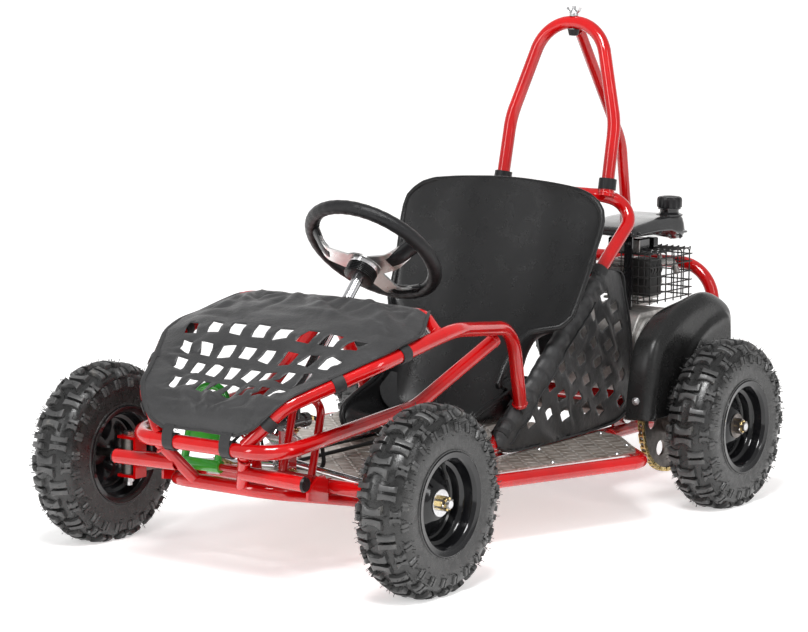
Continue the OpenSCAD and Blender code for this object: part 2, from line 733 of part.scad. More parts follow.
module spindle(side) on_side(side) {
  difference() {
    union() {
      translate([kingpin_x, front_y, axle_z - sleeve_h / 2]) cylinder(h = sleeve_h, r = 14);
      x_disc(kingpin_x + 5, front_x - 32, front_y, axle_z, 12);
      translate([kingpin_x - 10, front_y, axle_z - sleeve_h / 2]) cube([20, steer_arm - 4, arm_t]);
      translate([kingpin_x, rod_y, axle_z - sleeve_h / 2]) cylinder(h = arm_t, r = 11);
    }
    translate([kingpin_x, front_y, 0]) cylinder(h = 2 * axle_z, r = kingpin_r + fit_gap);
  }
  x_disc(front_x - 33, front_x + tip_out, front_y, axle_z, 7.5);
  x_disc(front_x + hub_face + 0.3, front_x + hub_face + 2.8, front_y, axle_z, 22);
  translate([front_x + hub_face + 2.8, front_y, axle_z]) rotate([0, 90, 0])
    cylinder(h = 12, r = 13, $fn = 6);
  translate([kingpin_x, rod_y, axle_z - sleeve_h / 2 + arm_t - 1]) cylinder(h = 20, r = stud_r);
}

module spindle_left() color(steel) datum() spindle(1);
module spindle_right() color(steel) datum() spindle(-1);

module tie_rod(side) on_side(side) {
  inner = [0, rod_y, pitman_tip.z] + side * eye_lift * column_dir;
  outer = [kingpin_x, rod_y, rod_z];
  way = unit(inner - outer);
  bar(outer + 10 * way, inner - 12 * way, 6.5);
  translate(outer - [0, 0, 5]) linear_extrude(10) ring(11, 11 - stud_r - fit_gap);
  frame_at(inner, [1, 0, 0], column_dir) linear_extrude(6, center = true) ring(13.5, 5);
}

module tie_rod_left() color(steel) datum() tie_rod(1);
module tie_rod_right() color(steel) datum() tie_rod(-1);

// ---- Wheels ----

flange_r = 88.5;
seat_r = 76;
well_r = 66;
rim_half = 46;
rim_t = 3;

// Half section of a dished disc wheel: (radius, distance outward from the wheel's centre).
module rim_section(bore, hub_in) polygon([[flange_r, rim_half], [flange_r, rim_half - rim_t],
  [seat_r + 2, rim_half - rim_t], [seat_r, rim_half - 6], [seat_r, 20], [well_r, 15],
  [well_r, -15], [seat_r, -20], [seat_r, -rim_half + 6], [seat_r + 2, -rim_half + rim_t],
  [flange_r, -rim_half + rim_t], [flange_r, -rim_half], [seat_r, -rim_half],
  [seat_r - rim_t, -rim_half + 6], [seat_r - rim_t, -22], [well_r - rim_t, -17], [well_r - rim_t, -4],
  [44, 4], [28, 16], [20, hub_face - 5], [20, hub_in], [bore, hub_in], [bore, hub_face],
  [30, hub_face], [46, 9], [well_r - rim_t, 3], [well_r - rim_t, 16], [seat_r - rim_t, 21],
  [seat_r - rim_t, rim_half - 6], [seat_r, rim_half]]);

bead_r = seat_r + 0.25;
crown_r = tyre_d / 2;
side_w = tyre_w / 2;

// Half section of the tyre casing, open at the beads.
tyre_outer = [[bead_r, 36], [bead_r, 39.8], [bead_r + 2, 42.7], [bead_r + 14, 42.7], [102, side_w - 1],
  [126, side_w], [148, side_w - 5], [crown_r - 6, 34], [crown_r, 16]];

module tyre_section() {
  half = concat(tyre_outer, [for (p = reversed(tyre_outer)) [p.x, -p.y]]);
  hollow = concat([[bead_r, 36]], [[bead_r + 12, 36.5], [102, side_w - 8], [126, side_w - 7],
    [143, side_w - 12], [crown_r - 12, 30], [crown_r - 8, 12]]);
  polygon(concat(half, reversed(concat(hollow, [for (p = reversed(hollow)) [p.x, -p.y]]))));
}

// Turns a (radius, outward) section about the wheel's axle line at x, y.
module wheel_solid(x, y) translate([x, y, axle_z]) rotate([0, 90, 0])
  rotate_extrude($fn = 96) children();

module front_rim(side) on_side(side) wheel_solid(front_x, front_y) rim_section(7.5 + fit_gap, -28);
module front_tyre(side) on_side(side) wheel_solid(front_x, front_y) tyre_section();

module front_rim_left() color(black) datum() front_rim(1);
module front_rim_right() color(black) datum() front_rim(-1);
module front_tyre_left() color(black) datum() front_tyre(1);
module front_tyre_right() color(black) datum() front_tyre(-1);

module rear_rims() color(black) datum() both_sides()
  wheel_solid(rear_x, rear_y) rim_section(axle_d / 2 + fit_gap, -20);

module rear_tyres() color(black) datum() both_sides() wheel_solid(rear_x, rear_y) tyre_section();

module rear_axle() color(steel) datum() {
  x_disc(-rear_x - hub_face, rear_x + hub_face, rear_y, axle_z, axle_d / 2);
  both_sides() {
    x_disc(rear_x + hub_face, rear_x + tip_out, rear_y, axle_z, 9);
    x_disc(rear_x + hub_face + 0.2, rear_x + hub_face + 3, rear_y, axle_z, 23.5);
    translate([rear_x + hub_face + 3, rear_y, axle_z]) rotate([0, 90, 0])
      cylinder(h = 12, r = 15, $fn = 6);
    x_disc(rail_x + 8.5, rail_x + 20, rear_y, axle_z, 16);
  }
}

main_rails();
upper_bumper();
bumper_struts();
stub_caps();
side_bars();
cowl_hoops();
dash_bar();
seat_hoop();
cross_members();
rear_guard();
rear_brace();
roll_hoop();
hoop_sleeves();
hoop_bolts();
axle_carriers();
axle_bearings();
front_beam();
kingpin_bolts();
floor_plates();
plate_screws();
seat_shell();
seat_belt();
hood_cover();
side_panels();
fenders();
engine_plate();
crankcase();
cylinder_head();
recoil_cover();
recoil_handle();
fuel_tank();
air_filter();
muffler();
muffler_guard();
drive_chain();
brake_caliper();
brake_hose();
master_cylinder();
throttle_cable();
column_bushes();
steering_wheel();
wheel_spokes();
steering_column();
spindle_left();
spindle_right();
tie_rod_left();
tie_rod_right();
front_rim_left();
front_tyre_left();
front_rim_right();
front_tyre_right();
rear_axle();
axle_sprocket();
brake_disc();
rear_rims();
rear_tyres();
clutch_drum();
throttle_pedal();
brake_pedal();
fuel_cap();
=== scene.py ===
"""The looks of a small off-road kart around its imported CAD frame.

Places are in millimetres in the kart's own drawing (origin under mid-wheelbase) and go through
at(), which turns them into metres in the part's frame. Sections and sizes are in millimetres too.
"""

import json
import math
import random

import bpy
from mathutils import Matrix, Vector
from mathutils.geometry import delaunay_2d_cdt


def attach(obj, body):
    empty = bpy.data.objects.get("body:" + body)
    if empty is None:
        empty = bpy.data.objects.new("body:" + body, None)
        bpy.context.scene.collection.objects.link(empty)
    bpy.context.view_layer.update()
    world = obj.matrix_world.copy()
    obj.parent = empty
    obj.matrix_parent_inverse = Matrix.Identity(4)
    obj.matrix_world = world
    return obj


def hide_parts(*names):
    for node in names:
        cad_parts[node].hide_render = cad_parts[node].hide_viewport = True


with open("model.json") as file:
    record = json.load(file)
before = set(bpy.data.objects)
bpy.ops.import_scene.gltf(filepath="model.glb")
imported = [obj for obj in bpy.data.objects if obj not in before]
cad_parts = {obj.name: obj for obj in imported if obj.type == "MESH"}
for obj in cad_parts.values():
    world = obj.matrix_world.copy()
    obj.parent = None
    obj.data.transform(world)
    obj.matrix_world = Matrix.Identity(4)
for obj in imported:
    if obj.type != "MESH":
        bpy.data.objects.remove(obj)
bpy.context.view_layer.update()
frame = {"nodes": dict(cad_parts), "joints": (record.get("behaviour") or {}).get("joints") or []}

MM = 0.001
AXLE_Z = 165
WHEELBASE = 941.5
FRONT_Y, REAR_Y = -WHEELBASE / 2, WHEELBASE / 2
FRONT_X, REAR_X = 355.5, 387.5
SIDES = ((1, "left"), (-1, "right"))
JOINTS = {joint["name"]: joint for joint in frame["joints"]}

# The rear axle's hinge fixes the drawing's origin in the part's frame.
DATUM_Y = REAR_Y - JOINTS["rear_axle"]["pos_m"][1] / MM


def at(x, y, z):
    return Vector((x * MM, (y - DATUM_Y) * MM, z * MM))


# ---- Mesh building ----


def frame_from(origin, along, across=Vector((0, 0, 1))):
    """Matrix with z along, and x as near to across as it can be."""
    z = Vector(along).normalized()
    x = Vector(across) - z * z.dot(Vector(across))
    if x.length < 1e-4:
        x = Vector((1, 0, 0)) - z * z.x
    x.normalize()
    y = z.cross(x)
    m = Matrix((x, y, z)).transposed().to_4x4()
    m.translation = origin
    return m


def spin(n, start=0.0):
    """n equal steps round a circle, in radians, from start degrees."""
    return [math.radians(start) + 2 * math.pi * i / n for i in range(n)]


def oval(rx, ry, n):
    return [(rx * math.cos(a), ry * math.sin(a)) for a in spin(n)]


def ngon(r, n):
    return oval(r, r, n)


def rect(x0, x1, y0, y1):
    return [(x0, y0), (x1, y0), (x1, y1), (x0, y1)]


def band(width, thick):
    return rect(-width / 2, width / 2, -thick / 2, thick / 2)


def lift(z):
    return Matrix.Translation((0, 0, z * MM))


def place(name, mesh, body, slot, hides="", matrix=None):
    """Adds a piece to the scene: its body and the CAD nodes that it stands for. The slot is not used."""
    ob = bpy.data.objects.new(name, mesh)
    bpy.context.scene.collection.objects.link(ob)
    if matrix:
        ob.matrix_world = matrix
    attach(ob, body)
    if hides:
        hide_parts(*hides.split())
    return ob


class Shape:
    """Collects the vertices and faces of one piece. Paths and frames are in metres."""

    def __init__(self):
        self.verts, self.faces = [], []

    def grid(self, rows, close_row=False, close_col=False, cap=False):
        base, n, m = len(self.verts), len(rows), len(rows[0])
        for row in rows:
            self.verts.extend(row)
        for i in range(n if close_col else n - 1):
            for j in range(m if close_row else m - 1):
                a, b = base + i * m, base + (i + 1) % n * m
                k = (j + 1) % m
                self.faces.append((a + j, a + k, b + k, b + j))
        if cap:
            self.faces.append(tuple(base + j for j in reversed(range(m))))
            self.faces.append(tuple(base + (n - 1) * m + j for j in range(m)))
        return self

    def sweep(self, path, section, closed=False, up=Vector((0, 0, 1))):
        """Sweeps a closed (x, y) section, or a function of the share of the way, along a path."""
        n = len(path)
        rows, x = [], Vector(up)
        for i, p in enumerate(path):
            a = path[(i - 1) % n] if closed or i else path[0]
            b = path[(i + 1) % n] if closed or i < n - 1 else path[-1]
            d = (b - a).normalized()
            x = x - d * d.dot(x)
            if x.length < 1e-5:
                x = d.orthogonal()
            x.normalize()
            y = d.cross(x)
            outline = section(i / max(1, n - 1)) if callable(section) else section
            rows.append([p + (x * q[0] + y * q[1]) * MM for q in outline])
        return self.grid(rows, close_row=True, close_col=closed, cap=not closed)

    def tube(self, path, r, sides=14, closed=False):
        return self.sweep(path, ngon(r, sides), closed)

    def revolve(self, section, centre, axis, steps=72, close=True):
        """Turns (radius, along) points, a closed section unless close is False, about an axis."""
        m = frame_from(centre, axis)
        rows = [[m @ (Vector((r * math.cos(a), r * math.sin(a), h)) * MM) for r, h in section]
                for a in spin(steps)]
        return self.grid(rows, close_row=close, close_col=True)

    def prism(self, outline, m, height, bevel):
        """Extrudes an outline along the matrix's z, with a bevelled top."""
        cx, cy = (sum(p[i] for p in outline) / len(outline) for i in (0, 1))
        far = max(math.hypot(x - cx, y - cy) for x, y in outline)
        rows = [[m @ (Vector((cx + (x - cx) * s, cy + (y - cy) * s, h)) * MM) for x, y in outline]
                for s, h in ((1, 0), (1, height - bevel), (1 - bevel / far, height))]
        return self.grid(rows, close_row=True, cap=True)

    def slab(self, low, high, bevel, corner=0):
        """Upright box between two corners of the drawing, its four edges rounded by corner."""
        outline = rect(low[0], high[0], low[1] - DATUM_Y, high[1] - DATUM_Y)
        return self.prism(rounded(outline, corner) if corner else outline, lift(low[2]), high[2] - low[2], bevel)

    def stud(self, p, axis, r, sides, height, bevel):
        return self.prism(ngon(r, sides), frame_from(p, axis), height, bevel)

    def bolt(self, p, axis, r, h, washer=True):
        """Hex head with the end of its thread, on a washer."""
        if washer:
            self.stud(p, axis, r * 1.5, 24, 1.2, 0.3)
        self.stud(p, axis, r, 6, h, 0.6)
        return self.stud(p, axis, r * 0.55, 14, h + 2.2, 0.5)

    def mesh(self, name, material, smooth=38, uv=None):
        mesh = bpy.data.meshes.new(name)
        mesh.from_pydata([tuple(v) for v in self.verts], [], self.faces)
        mesh.validate()
        mesh.update()
        mesh.materials.append(material)
        mesh.shade_smooth()
        mesh.set_sharp_from_angle(angle=math.radians(smooth))
        if uv:
            layer = mesh.uv_layers.new(name="UVMap")
            for loop in mesh.loops:
                layer.data[loop.index].uv = uv[loop.vertex_index]
        return mesh

    def make(self, name, material, slot, smooth=38, hides="", body="chassis", round_off=False, uv=None):
        ob = place(name, self.mesh(name, material, smooth, uv), body, slot, hides)
        if round_off:
            ob.modifiers.new("round", "SUBSURF").levels = 1
            ob.modifiers["round"].render_levels = 1
        return ob


def thicken(ob, thick, offset=1.0):
    solid = ob.modifiers.new("wall", "SOLIDIFY")
    solid.thickness, solid.offset = thick * MM, offset


def smooth_path(points, step=0.008, closed=False):
    """Catmull-Rom curve through the points, at about that spacing."""
    out, n = [], len(points)
    for i in range(n if closed else n - 1):
        p1, p2 = points[i], points[(i + 1) % n]
        p0 = points[(i - 1) % n] if closed or i else p1 + (p1 - p2)
        p3 = points[(i + 2) % n] if closed or i < n - 2 else p2 + (p2 - p1)
        k = max(2, int((p2 - p1).length / step))
        for j in range(k):
            t = j / k
            out.append(0.5 * ((2 * p1) + (p2 - p0) * t + (2 * p0 - 5 * p1 + 4 * p2 - p3) * t * t
                              + (3 * p1 - 3 * p2 + p3 - p0) * t ** 3))
    if not closed:
        out.append(points[-1])
    return out


def curve(step, *points):
    """Smooth path through points of the drawing, with steps of about that many metres."""
    return smooth_path([at(*p) for p in points], step)


def rounded(outline, r, steps=5):
    """Rounds the corners of a flat outline with arcs of about radius r."""
    out, n = [], len(outline)
    for i in range(n):
        p = Vector(outline[i])
        a, b = Vector(outline[i - 1]) - p, Vector(outline[(i + 1) % n]) - p
        cut = min(r, a.length * 0.45, b.length * 0.45)
        s, e = p + a.normalized() * cut, p + b.normalized() * cut
        for j in range(steps + 1):
            t = j / steps
            out.append(tuple(s * (1 - t) ** 2 + p * 2 * t * (1 - t) + e * t * t))
    return out


# ---- Materials ----


class Nodes:
    """Short way to write a material's node tree."""

    def __init__(self, name):
        self.mat = bpy.data.materials.new(name)
        self.mat.use_nodes = True
        self.tree = self.mat.node_tree
        self.bsdf = self.tree.nodes["Principled BSDF"]

    def add(self, kind, **values):
        node = self.tree.nodes.new(kind)
        for k, v in values.items():
            setattr(node, k, v)
        return node

    def link(self, a, b):
        self.tree.links.new(a, b)

    def value(self, node, name, v):
        if hasattr(v, "is_output"):
            self.link(v, node.inputs[name])
        else:
            node.inputs[name].default_value = v

    def math(self, operation, a, b=0.0, c=0.0):
        node = self.add("ShaderNodeMath", operation=operation)
        for i, v in enumerate((a, b, c)):
            if i < len(node.inputs):
                self.value(node, i, v)
        return node.outputs[0]

    def coords(self, uv=False):
        return self.add("ShaderNodeTexCoord").outputs["UV" if uv else "Object"]

    def noise(self, scale, detail=4.0, rough=0.55, vector=None):
        node = self.add("ShaderNodeTexNoise")
        self.value(node, "Scale", scale)
        self.value(node, "Detail", detail)
        self.value(node, "Roughness", rough)
        self.link(vector or self.coords(), node.inputs["Vector"])
        return node.outputs["Fac"]

    def cells(self, scale):
        node = self.add("ShaderNodeTexVoronoi")
        self.value(node, "Scale", scale)
        self.link(self.coords(), node.inputs["Vector"])
        return node.outputs["Distance"]

    def ramp(self, fac, stops):
        node = self.add("ShaderNodeValToRGB")
        ramp = node.color_ramp
        while len(ramp.elements) < len(stops):
            ramp.elements.new(0.5)
        for e, (pos, col) in zip(ramp.elements, stops):
            e.position = pos
            e.color = (*col, 1) if len(col) == 3 else col
        self.link(fac, node.inputs[0])
        return node.outputs[0]

    def mix(self, fac, base, color):
        """Base colour turning into one other colour where fac rises."""
        node = self.add("ShaderNodeMix", data_type="RGBA")
        self.link(fac, node.inputs[0])
        self.link(base, node.inputs[6])
        node.inputs[7].default_value = (*color, 1)
        return node.outputs[2]

    def stretched(self, vector, scale):
        node = self.add("ShaderNodeMapping")
        self.link(vector, node.inputs["Vector"])
        node.inputs["Scale"].default_value = scale
        return node.outputs[0]

    def split(self, vector):
        node = self.add("ShaderNodeSeparateXYZ")
        self.link(vector, node.inputs[0])
        return node.outputs[0], node.outputs[1]

    def grey(self, fac, low, high, a=0.3, b=0.7):
        return self.ramp(fac, [(a, (low,) * 3), (b, (high,) * 3)])

    def bump(self, height, strength, distance=0.001, normal=None):
        node = self.add("ShaderNodeBump")
        self.value(node, "Strength", strength)
        self.value(node, "Distance", distance)
        self.link(height, node.inputs["Height"])
        if normal is not None:
            self.link(normal, node.inputs["Normal"])
        return node.outputs[0]

    def finish(self, color=None, rough=None, normal=None, **sockets):
        if color is not None:
            self.value(self.bsdf, "Base Color", color)
        if rough is not None:
            self.value(self.bsdf, "Roughness", rough)
        if normal is not None:
            self.link(normal, self.bsdf.inputs["Normal"])
        for k, v in sockets.items():
            self.bsdf.inputs[k.replace("_", " ")].default_value = v
        return self.mat


def painted(name, dark, light, rough=(0.12, 0.26), coat=0.6, shine=0.5, dust=(0.35, 0.3, 0.27)):
    """Glossy paint: orange peel, slow colour drift, faint dust in patches."""
    n = Nodes(name)
    drift = n.ramp(n.noise(9.0), [(0.35, dark), (0.65, light)])
    patches = n.ramp(n.noise(38.0, 8.0, 0.7), [(0.62, (0, 0, 0)), (0.82, (0.1, 0.1, 0.1))])
    mix = n.mix(patches, drift, dust)
    peel = n.bump(n.noise(420.0, 2.0), 0.05, 0.0006)
    return n.finish(mix, n.grey(n.noise(26.0, 6.0), *rough), peel,
                    Coat_Weight=coat, Coat_Roughness=0.06, Specular_IOR_Level=shine)


def plastic(name, color, rough=(0.34, 0.5), grain=1500.0, depth=0.35):
    """Moulded plastic with a leather-like grain and scuffs."""
    n = Nodes(name)
    tone = n.ramp(n.noise(14.0, 6.0), [(0.3, tuple(c * 0.75 for c in color)), (0.75, color)])
    scuff = n.bump(n.noise(60.0, 8.0), 0.08, 0.001)
    skin = n.bump(n.cells(grain), depth, 0.0004, scuff)
    return n.finish(tone, n.grey(n.noise(32.0, 8.0), *rough), skin, Specular_IOR_Level=0.32)


def metal(name, dark, light, rough=(0.2, 0.38), grain=(1.0, 1.0, 12.0), bump=0.12):
    """Bare or plated metal with brushed streaks and stains."""
    n = Nodes(name)
    streak = n.noise(160.0, 5.0, 0.6, n.stretched(n.coords(), grain))
    stain = n.noise(45.0, 6.0, 0.6)
    both = n.math("MULTIPLY_ADD", streak, 0.4, n.math("MULTIPLY", stain, 0.6))
    return n.finish(n.ramp(both, [(0.35, dark), (0.65, light)]), n.grey(both, rough[1], rough[0]),
                    n.bump(streak, bump, 0.0005), Metallic=1.0)


def tread_plate(name):
    """Raised lozenges in alternating directions on worn aluminium."""
    n = Nodes(name)
    lozenge = 0.020
    px, py = (n.math("MULTIPLY", axis, 1 / lozenge) for axis in n.split(n.coords()))
    odd = n.math("PINGPONG", n.math("ADD", n.math("FLOOR", px), n.math("FLOOR", py)), 1.0)
    sign = n.math("MULTIPLY_ADD", odd, 2.0, -1.0)
    qx = n.math("SUBTRACT", n.math("FRACT", px), 0.5)
    qy = n.math("SUBTRACT", n.math("FRACT", py), 0.5)
    sy = n.math("MULTIPLY", qy, sign)
    long_way = n.math("MULTIPLY", n.math("ADD", qx, sy), 1.25)
    short_way = n.math("MULTIPLY", n.math("SUBTRACT", qx, sy), 4.2)
    reach = n.math("SQRT", n.math("ADD", n.math("POWER", long_way, 2.0), n.math("POWER", short_way, 2.0)))
    raised = n.math("SUBTRACT", 1.0, n.math("SMOOTH_MIN", reach, 1.0, 0.2))
    height = n.math("MINIMUM", n.math("MULTIPLY", raised, 2.5), 1.0)
    tone = n.ramp(n.noise(30.0, 8.0, 0.65), [(0.3, (0.22, 0.17, 0.13)), (0.55, (0.48, 0.42, 0.37)),
                                             (0.8, (0.62, 0.58, 0.54))])
    mix = n.mix(n.math("MULTIPLY", height, 0.55), tone, (0.8, 0.78, 0.75))
    fine = n.bump(n.noise(300.0, 5.0), 0.15, 0.0005)
    return n.finish(mix, n.grey(n.noise(40.0, 6.0), 0.32, 0.5), n.bump(height, 0.9, 0.0016, fine), Metallic=0.75)


def cloth(name, color, thread=0.0011, rough=(0.33, 0.52)):
    """Coated plain-weave cloth: threads over and under in UV space, fuzz and soft creases."""
    n = Nodes(name)
    axes = n.split(n.stretched(n.coords(uv=True), (1 / thread,) * 3))
    warp, weft = (n.math("SINE", n.math("MULTIPLY", axis, math.pi)) for axis in axes)
    weave = n.math("MULTIPLY_ADD", n.math("MULTIPLY", warp, weft), 0.5, 0.5)
    worn = n.noise(24.0, 8.0, 0.65)
    tone = n.ramp(worn, [(0.3, tuple(c * 0.62 for c in color)), (0.72, tuple(c * 1.25 for c in color))])
    crease = n.bump(n.noise(26.0, 4.0, 0.6), 0.6, 0.005)
    return n.finish(tone, n.grey(worn, *rough), n.bump(weave, 0.45, 0.0004, crease),
                    Sheen_Weight=0.10, Sheen_Roughness=0.45, Specular_IOR_Level=0.55)


def tyre_rubber(name, dark, dust, rough):
    """Black rubber, dusty in patches, with scuffs that catch the light."""
    n = Nodes(name)
    dusty = n.noise(22.0, 10.0, 0.7)
    tone = n.ramp(dusty, [(0.35, (dark,) * 3), (0.6, (dark * 2.2,) * 3), (0.8, dust)])
    scuffs = n.noise(70.0, 6.0, 0.7)
    skin = n.bump(n.noise(520.0, 4.0), 0.2, 0.0005, n.bump(scuffs, 0.35, 0.0016))
    return n.finish(tone, n.grey(scuffs, *rough, 0.35, 0.62), skin, Specular_IOR_Level=0.6)


RED = painted("red_powder_coat", (0.40, 0.0008, 0.0014), (0.56, 0.002, 0.003), (0.08, 0.17),
              coat=0.5, shine=0.45)
GREEN = painted("green_powder_coat", (0.02, 0.30, 0.02), (0.05, 0.46, 0.05))
RIM = painted("black_enamel", (0.004, 0.004, 0.005), (0.008, 0.008, 0.009), (0.08, 0.18),
              coat=0.25, shine=0.35, dust=(0.1, 0.1, 0.1))
TANK = painted("tank_enamel", (0.008, 0.008, 0.009), (0.016, 0.016, 0.017), (0.12, 0.28))
HOT = painted("heat_paint", (0.010, 0.010, 0.010), (0.022, 0.02, 0.019), (0.4, 0.6), coat=0.0)
PLASTIC = plastic("black_moulding", (0.010, 0.010, 0.011), (0.26, 0.42))
SEAT_MAT = plastic("seat_moulding", (0.008, 0.008, 0.0085), (0.22, 0.38), 1100.0, 0.4)
SMOOTH = plastic("smooth_moulding", (0.012, 0.012, 0.013), (0.16, 0.30), 2600.0, 0.10)
FENDER_MAT = plastic("fender_moulding", (0.014, 0.014, 0.014), (0.20, 0.34), 1700.0, 0.14)
GRIP = plastic("grip_foam", (0.012, 0.012, 0.013), (0.24, 0.40), 1900.0, 0.4)
RUBBER = plastic("soft_rubber", (0.014, 0.014, 0.014), (0.45, 0.62), 900.0, 0.25)
ZINC = metal("zinc_plate", (0.50, 0.50, 0.51), (0.74, 0.74, 0.75))
GOLD = metal("yellow_zinc", (0.50, 0.36, 0.13), (0.86, 0.68, 0.34), (0.16, 0.34))
CHROME = metal("chrome_plate", (0.70, 0.70, 0.72), (0.88, 0.88, 0.90), (0.05, 0.14), bump=0.03)
PLATED = metal("bright_plate", (0.80, 0.79, 0.78), (0.93, 0.92, 0.91), (0.22, 0.40), bump=0.04)
CAST = metal("cast_alloy", (0.30, 0.29, 0.28), (0.56, 0.55, 0.53), (0.38, 0.6), (1, 1, 1), 0.5)
DARK_STEEL = metal("dark_steel", (0.10, 0.09, 0.085), (0.30, 0.27, 0.25), (0.3, 0.5))
PLATE = tread_plate("tread_plate")
CLOTH = cloth("coated_cloth", (0.024, 0.024, 0.025))
WEB = cloth("webbing", (0.014, 0.014, 0.015), 0.0016, (0.6, 0.8))
TYRE = tyre_rubber("tyre_rubber", 0.006, (0.030, 0.029, 0.027), (0.16, 0.40))
# The tread blocks' rubber is lighter than the casing's: partly dust, partly painted light standing in for their lit
# tops.
LIT_DUSTY_TREAD = tyre_rubber("tread_dust_and_painted_light", 0.028, (0.24, 0.225, 0.20), (0.26, 0.5))

CAD_LOOKS = {
    RED: "main_rails upper_bumper bumper_struts side_bars cowl_hoops dash_bar seat_hoop cross_members "
         "rear_guard rear_brace roll_hoop axle_carriers front_beam engine_plate brake_pedal",
    GREEN: "throttle_pedal",
    PLASTIC: "stub_caps hoop_sleeves fenders recoil_cover recoil_handle air_filter fuel_cap",
    RUBBER: "column_bushes brake_hose throttle_cable",
    HOT: "muffler muffler_guard",
    TANK: "fuel_tank master_cylinder",
    ZINC: "hoop_bolts axle_bearings kingpin_bolts plate_screws wheel_spokes",
    DARK_STEEL: "rear_axle axle_sprocket brake_disc clutch_drum spindle_left spindle_right brake_caliper",
    GOLD: "drive_chain",
    CHROME: "tie_rod_left tie_rod_right steering_column",
    PLATE: "floor_plates",
    CAST: "crankcase cylinder_head",
    RIM: "front_rim_left front_rim_right rear_rims",
}
WELD_GAP, SHARP_EDGE = 2e-6, math.radians(28)

for material, names in CAD_LOOKS.items():
    for name in names.split():
        node = frame["nodes"][name]
        node.data.materials.clear()
        node.data.materials.append(material)
        node.data.shade_smooth()
        node.modifiers.new("weld", "WELD").merge_threshold = WELD_GAP
        node.modifiers.new("edges", "EDGE_SPLIT").split_angle = SHARP_EDGE


# ---- Wheels ----

CROWN_R, CASING_R, CASING_W = 165.0, 158.0, 45.5
PERIODS = 12
PITCH_ROUND = 2 * math.pi * CASING_R / PERIODS


def casing_half():
    """Outer half profile of the casing, (radius, outward), from the crown to the bead."""
    pts = []
    for i in range(17):
        phi = math.radians(90 * i / 16)
        pts.append((114 + (CASING_R - 114) * math.cos(phi) ** 0.72, CASING_W * math.sin(phi) ** 0.80))
    pts += [(106, CASING_W - 0.2), (98, CASING_W - 1.0), (93, CASING_W - 1.4), (91.5, CASING_W + 0.1),
            (89.6, CASING_W + 0.1), (88.6, CASING_W - 1.4), (82, 43.4), (77, 42.4)]
    return pts


HALF = casing_half()


def on_casing(s):
    """Point and outward normal of the profile at arc distance s from the crown (s < 0: other side)."""
    left, side = abs(s), 1 if s >= 0 else -1
    for a, b in zip(HALF, HALF[1:]):
        d = math.hypot(b[0] - a[0], b[1] - a[1])
        if left <= d:
            t = left / d
            nr, nw = (b[1] - a[1]) / d, -(b[0] - a[0]) / d
            return a[0] + (b[0] - a[0]) * t, side * (a[1] + (b[1] - a[1]) * t), nr, side * nw
        left -= d
    return HALF[-1][0], side * HALF[-1][1], 0, side


def tread_point(c, s, h):
    """Point h above the casing at distance c round the tyre and s across it."""
    r, w, nr, nw = on_casing(s)
    angle = c / CASING_R
    r, w = r + nr * h, w + nw * h
    return Vector((w * MM, r * math.sin(angle) * MM, r * math.cos(angle) * MM))


def knob(shape, outline, c0, s0, height, lean=0.86):
    """A tread block: outline in (around, across), its sides leaning in and its top edge broken."""
    rows = []
    for k, h in ((1.12, -1.0), (1.0, height - 0.9), (lean, height)):
        rows.append([tread_point(c0 + c * k, s0 + s * k, h) for c, s in outline])
    shape.grid(rows, close_row=True, cap=True)


def flared_bar(half, width, flare, bow):
    """Bar along the across direction whose ends flare, bowed away from its twin."""
    ts = [-1, -0.72, -0.35, 0, 0.35, 0.72, 1]
    upper = [(bow * (t * t) + width / 2 + flare * max(0, abs(t) - 0.5), t * half) for t in ts]
    lower = [(bow * (t * t) - width / 2 - flare * 0.3 * max(0, abs(t) - 0.5), t * half) for t in ts]
    return upper + lower[::-1]


def mould_hairs(shape):
    """Rubber hairs left by the mould's vents, none where the tyre stands."""
    rng = random.Random(7)
    for _ in range(700):
        c, s = rng.uniform(0, PERIODS * PITCH_ROUND), rng.uniform(-74, 74)
        down = abs(math.degrees(c / CASING_R) % 360 - 180) < 24
        short = abs(s) > 64
        if down and not short:
            continue
        base = tread_point(c, s, 0.0 if short else 1.0)
        length = rng.uniform(2, 4) if short else rng.uniform(7, 12.5)
        tip = tread_point(c + rng.uniform(-3, 3), s + rng.uniform(-3, 3), length)
        bend = Vector((rng.uniform(-0.4, 0.4) * MM, 0, 0))
        shape.tube([base, base.lerp(tip, 0.5) + bend, tip], 0.55, 4)


